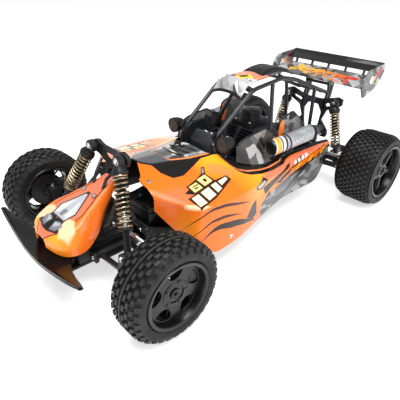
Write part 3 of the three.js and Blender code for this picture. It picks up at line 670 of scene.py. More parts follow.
def shell_paint():
    paint = Paint("shell_print", Coat_Weight=0.12, Coat_Roughness=0.05, Specular_IOR_Level=0.24)
    x, y, z = paint.side, paint.y, paint.z
    slope = paint.math("SUBTRACT", paint.math("MULTIPLY", x, 0.9), z)
    color = paint.mix(paint.noise(14, 2), ORANGE, DEEP_ORANGE)
    color = paint.mix(paint.near((38, 124, 92), 22, 10), color, AMBER)
    color = paint.mix(paint.near((82, 44, 60), 12, 12), color, AMBER)
    color = paint.mix(paint.near((76, 150, 79), 20, 18), color, AMBER)
    faded = paint.both(dots(paint, y, slope, 4.4), paint.near((72, 66, 70), 44, 26))
    color = paint.mix(paint.both(faded, 0.5), color, SALMON)
    high = paint.spread(z, 78, 80)
    low = paint.math("SUBTRACT", 1.0, high)
    top = lambda corners, soft=0.35: paint.both(paint.shape(x, y, corners, soft), high)
    flank = lambda corners, soft=0.35: paint.both(paint.shape(y, z, corners, soft), low)
    stripe = lambda points, width: paint.both(paint.line(y, z, points, width), low)
    layers = [
        (paint.both(top([(46, 40), (62, 42), (80, 66), (66, 84), (52, 64)], 4), 0.6), SALMON),
        (paint.both(top([(36, 112), (48, 104), (62, 118), (60, 130), (44, 124)], 1.5), 0.55), SALMON),
        # Painted highlight: a thin cream line along the crease on the deck.
        (paint.both(top([(61, 36), (64.5, 36), (84.5, 62), (84.5, 70), (80, 64)], 0.8), 0.8), CREASE_HIGHLIGHT),
        *badge(top),
    ]
    rings = paint.node("ShaderNodeCombineXYZ", 0.0, y, z).outputs[0]
    reach = paint.node(
        "ShaderNodeVectorMath", rings, Vector((0, 104, 4)), operation="DISTANCE"
    ).outputs["Value"]
    ripple = paint.spread(paint.math("SINE", paint.math("MULTIPLY", reach, 1.6)), 0.2, 0.6)
    quarter = flank([(62, 24), (150, 24), (142, 48), (104, 46), (76, 52)], 1)
    layers += [
        (paint.both(paint.both(ripple, quarter), 0.5), DEEP_ORANGE),
        (stripe([(48, 50), (56, 66), (65, 74), (83, 75.5), (108, 69), (130, 62)], 3.6), WARM_INK),
        (stripe([(53, 46), (66, 60), (82, 63), (98, 60), (116, 53)], 3.4), WARM_INK),
        (stripe([(60, 40), (74, 52), (99, 49), (120, 42), (146, 30)], 8.0), INK),
        (flank([(124, 44), (138, 34), (146, 38), (139, 60), (132, 56)], 0.5), INK),
        (flank([(146, 79), (303, 76), (303, 71), (150, 74)], 0.5), SALMON),
        (flank([(150, 68), (196, 76), (206, 76), (158, 56)]), INK),
        (flank([(134, 76), (152, 79), (158, 74), (148, 68), (138, 70)]), INK),
        (flank([(137, 75), (150, 77), (154, 74), (147, 70), (140, 71)]), tint(168, 170, 172)),
        (flank([(176, 62), (224, 75), (236, 75), (190, 57)]), INK),
    ]
    camo = paint.facets(62, GREYS, (1, 1, 1.4))
    layers += [
        (flank([(158, 50), (196, 58), (240, 62), (303, 69), (303, 20), (160, 20)], 0.4), camo),
        (flank([(154, 46), (163, 50), (160, 24), (156, 24)]), camo),
        (flank([(166, 58), (172, 50), (160, 48)]), INK),
        (flank([(196, 56), (303, 70), (303, 66), (200, 51)]), INK),
        (flank([(282, 20), (303, 20), (303, 66), (296, 60)]), INK),
        (flank([(176, 20), (196, 20), (252, 58), (238, 57)]), INK),
    ]
    for i in range(6):
        start = 206 + i * 14
        rise = 66 + i * 0.6
        slab = [(
            start, rise - 6.2
        ), (start + 9, rise - 5.2), (start + 12.5, rise + 2.6), (start + 3.5, rise + 1.6)]
        wide = [(
            start - 1, rise - 7.4
        ), (start + 10.2, rise - 6.4), (start + 14, rise + 3.8), (start + 2.8, rise + 2.8)]
        notch = [(
            start + 4, rise - 3
        ), (start + 8, rise - 2.6), (start + 8.6, rise - 1.4), (start + 4.6, rise - 1.8)]
        layers += [(flank(wide), INK), (flank(slab), AMBER if i % 2 else ORANGE), (flank(notch), INK)]
    for i in range(4):
        start = 212 + i * 9
        chip = [(start, 71.2), (start + 6, 71.6), (start + 7.4, 74.6), (start + 1.6, 74.3)]
        layers.append((flank(chip), tint(225, 225, 225)))
    # The cowl in the middle: a black surround, the grey step, and shards inside a line of piping.
    ahead = paint.spread(y, 136, 137, 1.0, 0.0)
    within = lambda line, inset=0.0: paint.both(
        paint.spread(
            paint.math("SUBTRACT", x, paint.height(y, line)), -inset - 0.3, -inset + 0.3, 1.0, 0.0
        ), ahead
    )
    shards = paint.facets(70, [grey(level) for level in (172, 88, 46, 132, 196, 64, 30)], (1, 0.7, 1))
    layers += [
        (within(COWL_EDGE), INK),
        (within(STEP), tint(84, 86, 90)),
        (within(PIPING), tint(238, 138, 78)),
        (within(PIPING, 2.2), INK),
        (within(PIPING, 2.9), shards),
    ]
    for i in range(3):
        front = 88 + i * 10
        for corners in (
            [(0, front), (15 + i, front + 6), (15 + i, front + 9), (0, front + 3)],
            [(7, front + 5), (14, front + 8.4), (14, front + 10), (7, front + 6.6)],
        ):
            layers.append((paint.both(paint.shape(x, y, corners), paint.spread(z, 92, 94)), INK))
    # The black surround of the cockpit's edge, with piping inside it.
    door = paint.math("SUBTRACT", x, paint.height(y, DOOR_EDGE))
    behind = paint.both(paint.spread(y, 130, 133), high_enough(paint))
    rim = lambda outer: paint.both(paint.spread(door, outer - 0.3, outer + 0.3, 1.0, 0.0), behind)
    layers += [(rim(0), INK), (rim(-5.2), tint(240, 130, 80)), (rim(-7.4), INK)]
    layers.append((paint.inside(60), tint(26, 20, 17)))
    return printed(paint, stacked(paint, color, layers))


def high_enough(paint):
    """1 above the flank's crease."""
    return paint.spread(paint.z, 71, 73)


def nose_paint():
    paint = Paint("nose_print", Coat_Weight=0.35, Coat_Roughness=0.06, Specular_IOR_Level=0.3)
    x, y = paint.side, paint.y
    color = paint.mix(paint.noise(16, 2), ORANGE, DEEP_ORANGE)
    color = paint.mix(paint.near((18, -44, 64), 12, 10), color, AMBER)
    edge = [(-53, 6), (-45, 16), (-36, 20), (-20, 19), (0, 11), (24, 6)]
    ridge = paint.math("SUBTRACT", x, paint.height(y, edge))
    shapes = [
        (paint.spread(ridge, -0.8, 0.8, 1.0, 0.0), SALMON),
        (paint.spread(paint.math("ABSOLUTE", ridge), 0.4, 0.9, 1.0, 0.0), WARM_INK),
        (paint.shape(x, y, [(-1, -35.5), (14, -32.5), (20, -38), (15, -45), (4, -48), (-1, -48)]), INK),
        (paint.shape(
            x, y, [(10, -30), (19, -28), (28, -33), (29, -41), (21, -46), (13, -40)], 0.8
        ), tint(246, 204, 160)),
        (paint.shape(x, y, [(3, -38), (9, -36), (15, -38), (12, -44), (5, -46)], 0.8), tint(120, 124, 130)),
        (paint.shape(x, y, [(3.6, -39), (9, -37), (11, -38), (6, -43)], 0.8), tint(176, 180, 186)),
        (paint.shape(x, y, [(-1, -1), (2, -1), (14, -24), (10.5, -35), (-1, -35)]), tint(52, 46, 46)),
        (paint.shape(
            x, y, [(-1, -4), (1.5, -4), (12.2, -23.6), (9.4, -33.6), (-1, -33.6)]
        ), tint(178, 180, 184)),
        (paint.shape(x, y, [(3, -12), (11, -24), (9, -32), (5, -30)]), tint(214, 215, 218)),
        (paint.shape(x, y, [(-1, -24), (3, -26), (2, -32), (-1, -32)]), tint(120, 120, 124)),
    ]
    fade = paint.both(dots(paint, y, paint.math("ADD", x, paint.z), 4.2), paint.near((26, -20, 66), 16, 12))
    color = paint.mix(paint.both(fade, 0.5), color, SALMON)
    return printed(paint, stacked(paint, color, shapes))


def roof_paint():
    paint = Paint("roof_print", Coat_Weight=0.2, Coat_Roughness=0.08, Specular_IOR_Level=0.3)
    x, y = paint.x, paint.y
    color = paint.facets(78, [grey(level) for level in (206, 150, 96, 222, 176, 120, 70)], (1, 0.8, 1))
    shapes = [
        (paint.shape(x, y, [(-22, 196), (8, 190), (22, 204), (22, 222), (-22, 222)]), tint(214, 130, 100)),
        (paint.shape(x, y, [(-4, 189), (8, 187), (15, 200), (6, 204)]), tint(236, 196, 60)),
        (paint.shape(x, y, [(-1, 191), (6, 190), (10, 198), (5, 200)]), tint(60, 64, 20)),
        (paint.shape(x, y, [(-22, 170), (-22, 174), (22, 174), (22, 170)]), INK),
    ]
    return printed(paint, stacked(paint, color, shapes), (0.16, 0.3))


def liner_paint():
    paint = Paint("liner_print", Coat_Weight=0.4, Coat_Roughness=0.12)
    y, z = paint.y, paint.z
    color = paint.facets(74, [grey(level) for level in (54, 118, 80, 164, 66, 136, 38)], (1, 1, 0.9))
    shapes = [
        (paint.shape(y, z, [(196, 76), (214, 84), (206, 88), (222, 96), (204, 80), (190, 66)]), AMBER),
        (paint.shape(
            y, z, [(213, 92), (219, 92), (222, 106), (220, 114), (215, 116), (212, 106)], 0.6
        ), ORANGE),
        (paint.shape(y, z, [(144, 60), (160, 60), (152, 116), (140, 116)]), INK),
    ]
    return printed(paint, stacked(paint, color, shapes), (0.2, 0.34))


def wing_paint():
    paint = Paint("wing_print", Coat_Weight=0.2, Coat_Roughness=0.08, Specular_IOR_Level=0.3)
    x, y, z = paint.x, paint.y, paint.z
    color = paint.facets(60, [grey(level) for level in (140, 78, 112, 54, 168, 94)], (1, 1.2, 1.2))
    heat = paint.spread(x, -52, 50)
    flame = paint.mix(heat, tint(246, 196, 60), tint(196, 38, 30))
    middle = paint.shape(x, y, [(-52, 346), (46, 340), (56, 360), (-40, 368)], 0.8)
    broken = paint.spread(paint.noise(95, 3), 0.46, 0.5)
    color = stacked(paint, color, [(paint.both(middle, broken), flame)])
    for i in range(7):
        start = -44 + i * 13
        slash = paint.shape(x, y, [(start, 350), (start + 7, 348), (start + 12, 359), (start + 5, 361)])
        color = paint.mix(slash, color, flame)
        core = paint.shape(x, y, [(start + 3, 352), (start + 5, 351), (start + 8, 357), (start + 6, 358)])
        color = paint.mix(core, color, tint(90, 30, 14))
    ends = paint.spread(paint.side, 67.5, 68)
    plates = [
        (paint.shape(y, z, [(356, 138), (362, 136), (368, 142), (360, 146)]), tint(225, 225, 225)),
        (paint.shape(y, z, [(362, 137), (372, 140), (376, 148), (366, 143)]), tint(246, 190, 60)),
        (paint.shape(y, z, [(368, 139), (382, 147), (386, 153), (374, 150)]), tint(190, 40, 36)),
        (paint.shape(y, z, [(347, 118), (351, 122), (346, 136), (338, 136)]), tint(70, 70, 72)),
    ]
    color = stacked(paint, color, [(paint.both(mask, ends), shade) for mask, shade in plates])
    return printed(paint, color, (0.16, 0.3))


def exhaust_paint():
    """A satin silver can with a white, amber and black printed collar and a dark tail."""
    paint = Paint("exhaust_silver")
    y = paint.y
    brushed = paint.noise(700, 4)
    color = paint.mix(paint.spread(brushed, 0.3, 0.7), tint(150, 153, 157), tint(204, 206, 210))
    bands = [
        ((180, 208), tint(226, 226, 226)),
        ((184, 190), INK),
        ((191.5, 198), AMBER),
        ((199, 201), INK),
        ((205, 208), INK),
        ((254, 280), tint(40, 41, 44)),
    ]
    lean = paint.math("MULTIPLY_ADD", paint.side, 0.35, paint.math("SUBTRACT", y, 20.0))
    for (low, high), shade in bands:
        mask = paint.both(
            paint.spread(lean, low - 0.3, low + 0.3), paint.spread(lean, high - 0.3, high + 0.3, 1.0, 0.0)
        )
        color = paint.mix(mask, color, shade)
    metallic = paint.both(paint.spread(y, 210, 211), paint.spread(y, 254, 255, 1.0, 0.35))
    paint.give(paint.shader.inputs["Metallic"], paint.both(metallic, 0.75))
    paint.bump(brushed, 0.1, 0.0001)
    return paint.finish(color, paint.spread(paint.noise(90, 3), 0.3, 0.7, 0.28, 0.42))


BLACK = plastic("moulded_black", tint(9, 9, 10), tint(22, 22, 24), Specular_IOR_Level=0.28)
SATIN = plastic("satin_black", tint(13, 13, 15), tint(28, 29, 32), (0.2, 0.34), 0.12, Specular_IOR_Level=0.45)
MESH = plastic("lamp_mesh", tint(42, 39, 36), tint(72, 68, 64), (0.4, 0.6), 0.3)
GLOSS = plastic("gloss_black", tint(
    9, 9, 10
), tint(16, 16, 18), (0.1, 0.2), 0.05, 0.3, Coat_Weight=0.2, Specular_IOR_Level=0.45)
RIM = plastic("rim_black", tint(8, 8, 9), tint(17, 17, 19), (0.2, 0.32), 0.15, Specular_IOR_Level=0.3)
CARBON = plastic("dark_fibre", tint(20, 21, 23), tint(40, 42, 46), (0.25, 0.45), 0.4, Specular_IOR_Level=0.4)
RUBBER = rubber("tyre_rubber")
STEEL = metal("bright_steel", tint(150, 150, 152), tint(214, 214, 216))
SPRING = metal("spring_bronze", tint(104, 86, 62), tint(220, 204, 170), (0.22, 0.36))
BRASS = metal("pivot_brass", tint(150, 118, 66), tint(216, 184, 120))
ALLOY = metal("cast_alloy", tint(96, 98, 102), tint(150, 152, 156), (0.35, 0.55), 700)
WRAP = plastic("battery_wrap", tint(18, 30, 70), tint(30, 46, 96), (0.25, 0.4), 0.1)
SHELL = shell_paint()
NOSE = nose_paint()
ROOF = roof_paint()
LINER = liner_paint()
WING = wing_paint()
EXHAUST = exhaust_paint()


# ---- Tyres and rims ----
def tread_block(builder, centre, angle, arc, inner_edge, outer_edge, depth, shrink=0.78):
    """One block on a tyre. Each edge is (x offset, radius); the block stands on the carcass below them."""
    corners = []
    for lift, share in ((-depth, 1.0), (0.0, shrink)):
        for offset, radius in (inner_edge, outer_edge):
            middle = (inner_edge[0] + outer_edge[0]) / 2
            across = middle + (offset - middle) * share
            for turn in (-arc / 2 * share, arc / 2 * share):
                a = angle + turn
                r = radius + lift
                corners.append(
                    builder.verts.new(
                        (centre[0] + across, centre[1] + r * math.cos(a), centre[2] + r * math.sin(a))
                    )
                )
    for face in ((4, 5, 7, 6), (0, 1, 5, 4), (2, 6, 7, 3), (0, 4, 6, 2), (1, 3, 7, 5)):
        builder.faces.new([corners[i] for i in face])


def carcass(wheel, drop, shoulder):
    """The tyre's smooth body, with a raised ring and a rim protector on each side wall."""
    half, lip = wheel["half"], wheel["lip"]
    crown = TYRE_RADIUS - drop
    side_wall = [
        (lip - 1.4, half - 4.6),
        (lip - 1.4, half - 2.8),
        (lip + 0.4, half - 1.9),
        (lip + 1.4, half - 0.7),
        (lip + 2.2, half - 0.9),
        (lip + 3.2, half - 0.5),
        (lip + 5.4, half - 0.1),
        (lip + 7.6, half - 0.4),
        (lip + 8.4, half - 1.2),
        (crown - 2.6, half - 1.6 - shoulder * 0.1),
        (crown - 0.9, half - shoulder * 0.6),
        (crown, half - shoulder),
    ]
    outside = [p for p in side_wall if p[0] <= crown]
    inside = [(crown - 2.2, half - shoulder - 2), (lip + 4, half - 3), (lip - 1.4, half - 4.6)]
    profile = [*outside, *[(r, -h) for r, h in reversed(outside)]]
    profile += [(r, -h) for r, h in reversed(inside[:-1])] + inside
    return lathe(profile, (wheel["x"], wheel["y"], TYRE_RADIUS), (1, 0, 0), 112)


def mesh_with_normals(builder):
    bmesh.ops.recalc_face_normals(builder, faces=builder.faces)
    return mesh_from(builder)


def front_tyre():
    """A centre rib, two staggered rows of blocks on each side of it and shoulder lugs."""
    centre = (FRONT_WHEEL["x"], FRONT_WHEEL["y"], TYRE_RADIUS)
    builder = bmesh.new()
    count = 32
    pitch = 2 * math.pi / count
    for i in range(count):
        for sign in (1, -1):
            rows = [
                ((sign * 2.8, TYRE_RADIUS), (sign * 5.4, TYRE_RADIUS), 0.6, 0.0),
                ((sign * 6.9, TYRE_RADIUS), (sign * 9.7, TYRE_RADIUS - 0.3), 0.6, 0.5),
                ((sign * 11.1, TYRE_RADIUS - 0.6), (sign * 13.5, TYRE_RADIUS - 1.9), 0.6, 0.0),
                ((sign * 14.5, TYRE_RADIUS - 2.8), (sign * 17.2, TYRE_RADIUS - 6.2), 0.62, 0.5),
            ]
            for inner, outer, share, shift in rows:
                tread_block(builder, centre, (i + shift) * pitch, pitch * share, inner, outer, 3.4, 0.86)
    rib = [(-0.9, TYRE_RADIUS - 0.1), (0.9, TYRE_RADIUS - 0.1)]
    ridge = lathe(
        [(
            rib[0][1] - 3, -1.1
        ), (rib[0][1], -0.8), (rib[1][1], 0.8), (rib[1][1] - 3, 1.1), (rib[0][1] - 3, -1.1)],
        centre,
        (1, 0, 0),
        112,
    )
    return [(carcass(FRONT_WHEEL, 2.9, 5.5), RUBBER), (ridge, RUBBER), (mesh_with_normals(builder), RUBBER)]


def rear_tyre():
    """Staggered rows of small square pins over a wide round crown."""
    centre = (REAR_WHEEL["x"], REAR_WHEEL["y"], TYRE_RADIUS)
    builder = bmesh.new()
    rows, count = 10, 42
    reach = REAR_WHEEL["half"] - 1.9
    pitch = 2 * math.pi / count
    for row in range(rows):
        across = -reach + 2 * reach * row / (rows - 1)
        edge = max(0, abs(across) - 12)
        radius = TYRE_RADIUS - 0.045 * edge**2
        fall = 0.11 * edge * (1 if across > 0 else -1)
        for i in range(count):
            angle = (i + 0.5 * (row % 2)) * pitch
            inner = (across - 1.5, min(radius + fall, TYRE_RADIUS))
            outer = (across + 1.5, min(radius - fall, TYRE_RADIUS))
            tread_block(builder, centre, angle, pitch * 0.46, inner, outer, 3.2, 0.74)
    return [(carcass(REAR_WHEEL, 2.7, 10), RUBBER), (mesh_with_normals(builder), RUBBER)]


def rim_barrel(wheel):
    """The rim's two lips and the barrel between them."""
    half, lip, disc = wheel["half"], wheel["lip"], wheel["disc"]
    profile = [
        (lip - 5.2, disc - 1.6),
        (lip - 4.6, disc + 1.2),
        (lip - 3.6, half - 2.4),
        (lip - 3.0, half - 1.2),
        (lip - 1.9, half - 0.7),
        (lip - 0.4, half - 0.6),
        (lip, half - 1.2),
        (lip - 0.2, half - 2.0),
        (lip - 1.8, half - 2.2),
        (lip - 1.8, -half + 2.2),
        (lip - 0.2, -half + 2.0),
        (lip, -half + 1.2),
        (lip - 0.6, -half + 0.6),
        (lip - 2.6, -half + 1.0),
        (lip - 4.0, -half + 3.0),
        (lip - 5.2, disc - 1.6),
    ]
    return lathe(profile, (wheel["x"], wheel["y"], TYRE_RADIUS), (1, 0, 0), 80)


def wheel_face(wheel, window, start, end, corner, bevel=0.6):
    """The rim's disc, with five rounded windows given as (radius, degrees) points."""
    centre = Vector((wheel["y"], TYRE_RADIUS))
    holes = [
        [
            centre + Vector(polar(radius, 72 * i + degrees + 90)) for radius, degrees in window
        ] for i in range(5)
    ]
    outline = circle(wheel["lip"] - 4.4, centre, 80)
    return prism("x", outline, wheel["x"] + start, wheel["x"] + end, bevel, holes, corner)


def window_shade_plate(wheel, depth):
    """A dished black plate round the hub, behind the windows: a dark sheet that stands in for the shade seen
    through them.
    """
    x = wheel["disc"] - depth
    profile = [(7, x), (18, x + 1.4), (18.6, x + 0.9), (18.2, x + 0.2), (7, x - 1.4), (7, x)]
    return lathe(profile, (wheel["x"], wheel["y"], TYRE_RADIUS), (1, 0, 0), 48)


def front_rim():
    wheel, x = FRONT_WHEEL, FRONT_WHEEL["x"]
    disc = wheel["disc"]
    window = [(15.0, -11), (19.5, -21), (24, -20), (24.9, 0), (24, 20), (19.5, 21), (15.0, 11), (14.2, 0)]
    centre = (x, 0, TYRE_RADIUS)
    hub = [
        (2.6, -4),
        (6, -4),
        (6.6, disc - 3),
        (12.6, disc - 1.5),
        (12.6, disc + 1.6),
        (11.8, disc + 2.2),
        (8.2, disc + 2.4),
        (7.8, disc + 1.4),
        (5.2, disc + 1.4),
        (4.9, disc + 2.6),
        (3.3, disc + 2.9),
        (2.6, disc + 2.2),
        (2.6, -4),
    ]
    shapes = [
        (rim_barrel(wheel), RIM),
        (wheel_face(wheel, window, disc - 1.5, disc + 1.5, 2.2), RIM),
        # Painted shade: a black plate behind the windows.
        (window_shade_plate(wheel, 12), BLACK),
        (lathe(hub, centre, (1, 0, 0), 48), RIM),
    ]
    for i in range(5):
        angle = math.radians(72 * i + 54)
        tab = box((x + disc + 1, -0.9, 9.2), (x + disc + 2.9, 0.9, 11.4), 0.3)
        tab.transform(Matrix.Translation((0, 0, TYRE_RADIUS)) @ Matrix.Rotation(angle, 4, "X"))
        shapes.append((tab, RIM))
        rib = box((x + disc - 3.2, -0.7, 12), (x + disc - 1.2, 0.7, 25.4), 0.3)
        rib.transform(Matrix.Translation((0, 0, TYRE_RADIUS)) @ Matrix.Rotation(angle - 0.63, 4, "X"))
        shapes.append((rib, RIM))
    return shapes


def rear_rim():
    wheel, x, y = REAR_WHEEL, REAR_WHEEL["x"], REAR_WHEEL["y"]
    disc = wheel["disc"]
    window = [(11.2, -10), (19, -21), (26.6, -24), (27.8, 0), (26.6, 24), (19, 21), (11.2, 10)]
    centre = (x, y, TYRE_RADIUS)
    hub = [
        (2.4, -10),
        (6, -10),
        (6.6, disc - 3),
        (10, disc - 1.5),
        (10, disc + 2.0),
        (8.4, disc + 3.4),
        (5.4, disc + 3.6),
        (5.0, disc + 2.2),
        (0, disc + 2.2),
    ]
    shapes = [
        (rim_barrel(wheel), RIM),
        (wheel_face(wheel, window, disc - 1.6, disc + 1.4, 1.6), RIM),
        # Painted shade: a black plate behind the windows.
        (window_shade_plate(wheel, 12), BLACK),
        (lathe(hub, centre, (1, 0, 0), 48), RIM),
    ]
    for i in range(5):
        angle = math.radians(72 * i + 36)
        spoke = prism("z", [(-1.4, 8), (1.4, 8), (3.4, 28), (-3.4, 28)], 0, 2.6, 0.8)
        spoke.transform(Matrix(((0, 0, 1, x + disc + 0.4), (1, 0, 0, 0), (0, 1, 0, 0), (0, 0, 0, 1))))
        spoke.transform(Matrix.Translation((0, y, TYRE_RADIUS)) @ Matrix.Rotation(angle, 4, "X"))
        shapes.append((spoke, RIM))
    cup = [(
        0, 7.6
    ), (3.9, 7.6), (3.9, 0.4), (4.4, 0), (5, 0.6), (5, 8.4), (4.4, 9), (2.4, 9.6), (2.4, 54), (0, 54)]
    shapes.append((lathe(cup, (64.3, y, TYRE_RADIUS), (1, 0, 0), 32), STEEL))
    shapes.append((nut((x + disc + 2, y, TYRE_RADIUS), (1, 0, 0), 3.6, 2.6), BLACK))
    return shapes


def wheels():
    both_sides("front_tyre", front_tyre(), "front_wheel")
    both_sides("front_rim", front_rim(), "front_wheel")
    both_sides("rear_tyre", rear_tyre(), "rear_wheel")
    both_sides("rear_rim", rear_rim(), "rear_wheel")


# ---- Suspension ----
def front_arm():
    """Two long bars with light upper edges, tied by cross ribs, and the shock's ear."""
    shapes = []
    for inner_y, outer_y in ((-10, -7.6), (21, 7.6)):
        shapes.append((
            tube([(24, inner_y, 33), (40, inner_y * 0.9, 33.4), (80, outer_y, 35)], 2.7, 8), SATIN
        ))
    web = [(25, -10), (80, -8), (80, 8), (36, 21), (25, 21)]
    slots = [
        [(32, -6.6), (50, -5.8), (48, 13.2), (36, 17), (32, 17)],
        [(56, -5.2), (74, -4.6), (74, 5.4), (56, 10.4)],
    ]
    shapes.append((prism("z", web, 32.2, 34.4, 0.5, slots, 2), BLACK))
    shapes.append((tube([(22, -13.4, 33), (22, 24.4, 33)], 4.2, sides=6), BLACK))
    for low, high in ((-10, -6.4), (6.4, 10)):
        shapes.append((eye((82, (low + high) / 2, 35), 4, high - low, 1.7), BLACK))
    ear = [(53, 34), (69, 34), (65.4, 52.6), (61, 54.4), (56.6, 52.6)]
    hole = circle(1.7, (61, 50), 16)
    shapes.append((prism("y", ear, -11, -7, 0.5, [hole], 1.5), BLACK))
    shapes.append((tube([(61, -7.6, 50), (61, 0.2, 50)], 1.2), STEEL))
    shapes.append((screw((61, -11, 50), (0, -1, 0), 2.6), STEEL))
    shapes.append((tube([(82, -10.4, 35), (82, 10.4, 35)], 1.6), STEEL))
    shapes.append((screw((82, -10.2, 35), (0, -1, 0), 2.1), STEEL))
    shapes.append((screw((22, -13.6, 33), (0, -1, 0), 1.6), STEEL))
    return shapes


def rear_arm():
    y = WHEELBASE
    web = [(22, y - 15), (44, y - 12.6), (62, y - 9.8), (68, y - 9.8), (68, y + 9.8), (60, y + 12)]
    web += [(56, y + 19.6), (46, y + 19.6), (40, y + 12), (22, y + 12)]
    slots = [
        [(28, y - 10.6), (40, y - 9), (36, y + 7.6), (28, y + 7.6)],
        [(43, y - 8.4), (58, y - 5.6), (56, y + 7), (43, y + 8)],
    ]
    shapes = [
        (prism("z", web, 31, 36.4, 0.8, slots, 2), BLACK),
        (tube([(20, y - 15.4, 33.5), (20, y + 12, 33.5)], 4.2, sides=6), BLACK),
        (tube([(27, y - 11.6, 36.2), (66, y - 8.2, 37)], 1.5), BLACK),
        (tube([(27, y + 8.4, 36.2), (66, y + 8.2, 37)], 1.5), BLACK),
    ]
    for low, high in ((y - 10, y - 6.4), (y + 6.4, y + 10)):
        shapes.append((eye((68, (low + high) / 2, 34.5), 3.9, high - low, 1.7), BLACK))
    ear = [(45, 33), (57, 33), (55.4, 46), (51, 48.2), (46.6, 46)]
    shapes.append((prism("y", ear, y + 6.1, y + 9.9, 0.5, [circle(1.7, (51, 44), 16)], 1.5), BLACK))
    shapes.append((tube([(51, y + 9.5, 44), (51, y + 17.2, 44)], 1.6), STEEL))
    shapes.append((screw((51, y + 6.1, 44), (0, -1, 0), 2.4), STEEL))
    shapes.append((tube([(68, y - 10.4, 34.5), (68, y + 10.4, 34.5)], 1.6), STEEL))
    return shapes


def front_carrier():
    shapes = [
        (eye((82, 0, 35), 3.8, 12, 2.1), BLACK),
        (prism("x", [(-6, 37), (6, 37), (5, 57.4), (-5, 57.4)], 79.4, 82.4, 0.6), BLACK),
        (prism("z", [(80, -6), (88, -6), (91.6, -3), (91.6, 3), (88, 6), (80, 6)], 36, 39, 0.6), BLACK),
        (prism("z", [(80, -6), (88, -6), (91.6, -3), (91.6, 3), (88, 6), (80, 6)], 53, 57.2, 0.6), BLACK),
        (tube([(88, 0, 36), (88, 0, 56)], 1.6), STEEL),
        (screw((88, 0, 57.2), (0, 0, 1), 2.4), STEEL),
        (screw((88, 0, 36.2), (0, 0, -1), 2.2), STEEL),
        (box((80.6, 3.2, 56), (87.4, 6.2, 65.4), 0.8), BLACK),
        (tube([(84, 5, 62), (84, 12, 62)], 1.6), STEEL),
        (screw((84, 11.6, 62), (0, 1, 0), 2.5), STEEL),
    ]
    return shapes


def rear_carrier():
    y = WHEELBASE
    side = [(y - 8, 32), (y + 8, 32), (y + 9, 54), (y - 2, 65), (y - 10, 65), (y - 10, 54)]
    bearing = [(2.9, -0.8), (6.6, -0.8), (6.6, 0.4), (5.6, 0.8), (2.9, 0.8), (2.9, -0.8)]
    return [
        (prism("x", side, 74, 81.2, 0.8, [circle(2.9, (y, TYRE_RADIUS), 24)], 2), BLACK),
        (eye((68, y, 34.5), 3.4, 12, 2.1), BLACK),
        (box((69.4, y - 5.8, 31.8), (75, y + 5.8, 37.2), 0.8), BLACK),
        (box((66.6, y - 9.8, 57.6), (76, y - 6.2, 64.4), 0.8), BLACK),
        (lathe(bearing, (81.4, y, TYRE_RADIUS), (1, 0, 0), 32), STEEL),
        (tube([(70, y - 16, 61), (70, y - 8, 61)], 1.6), STEEL),
        (screw((70, y - 15.8, 61), (0, -1, 0), 2.5), STEEL),
    ]


def knuckle():
    lever = [(86.2, 2), (91.4, 2), (91.4, 21), (89.4, 24), (87.4, 24), (86.2, 21)]
    return [
        (box((85.3, -5.4, 39.6), (91.9, 5.4, 52.4), 0.9), SATIN),
        (prism("z", lever, 39.9, 43.4, 0.6, (), 1), SATIN),
        (lathe(
            [(0, 0), (4, 0), (4, 2.4), (2.2, 3), (2.2, 29), (0, 29)], (91, 0, TYRE_RADIUS), (1, 0, 0), 24
        ), STEEL),
        (nut((118, 0, TYRE_RADIUS), (1, 0, 0), 3.4, 2.4), BLACK),
        (tube([(88.6, 20, 43), (88.2, 20, 45.4)], 1.4), STEEL),
    ]


def rod_end(centre, width=4.4, outer=4.0):
    """A link's moulded eye, with its pivot ball's bright collar."""
    collar = [
        (1.7, -width / 2 - 0.2), (2.9, -width / 2 - 0.2), (3.0, width / 2 + 0.2), (1.7, width / 2 + 0.2)
    ]
    return [
        (eye(centre, outer, width, 2.9), BLACK),
        (lathe([*collar, collar[0]], centre, (0, 1, 0), 20), BRASS),
    ]


def link(start, end):
    """A threaded turnbuckle between two moulded ends."""
    start, end = Vector(start), Vector(end)
    along = (end - start).normalized()
    length = (end - start).length
    shapes = [*rod_end(start), *rod_end(end)]
    for base, way in ((start, along), (end, -along)):
        neck = [(2.2, 2.6), (2.2, 9), (1.9, 12), (1.3, 12.4)]
        shapes.append((lathe([(0, 2.6), *neck, (0, 12.4)], base, way, 16), BLACK))
    thread = [(0, 12)]
    steps = int((length - 24) / 0.8)
    for i in range(steps):
        height = 12 + (length - 24) * i / steps
        thread += [(1.25, height), (1.5, height + 0.4)]
    thread.append((0, length - 12))
    shapes.append((lathe(thread, start, along, 12), STEEL))
    shapes.append((
        lathe([(0, -2.2), (2.3, -2.0), (2.3, 2.0), (0, 2.2)], start + along * length / 2, along, 6), STEEL
    ))
    return shapes


def tie_rod():
    start, end = Vector((28, 34, 44)), Vector((88, 20, 47))
    along = (end - start).normalized()
    cup = [(0, -1.6), (3.2, -1.6), (3.6, -0.8), (3.6, 2.4), (2.8, 3), (0, 3)]
    return [
        *rod_end(start, 4.4, 3.4),
        (tube([start + along * 2.8, end - along * 2.6], 1.5), STEEL),
        (lathe([(0, 3), (2.2, 3), (2.2, 12), (1.5, 12.6), (0, 12.6)], start, along, 16), BLACK),
        (lathe([(0, 3), (2.2, 3), (2.2, 12), (1.5, 12.6), (0, 12.6)], end, -along, 16), BLACK),
        (lathe(cup, end, (0, 0, 1), 24), BLACK),
        (screw(end + Vector((0, 0, 3)), (0, 0, 1), 1.8), BRASS),
    ]


def steering_rack():
    shapes = [
        (box((-23.5, 31.6, 42.2), (23.5, 39.2, 45.8), 0.7), BLACK),
        (box((-31, 36.8, 41.2), (31, 39.4, 46.8), 0.7), BLACK),
        (box((-9, 31.4, 45.6), (9, 37, 47), 0.4), BLACK),
    ]
    for side in (1, -1):
        shapes.append((tube([(side * 28, 31.4, 44), (side * 28, 37, 44)], 1.6), STEEL))
        shapes.append((screw((side * 28, 31.8, 44), (0, -1, 0), 1.8), STEEL))
    return shapes


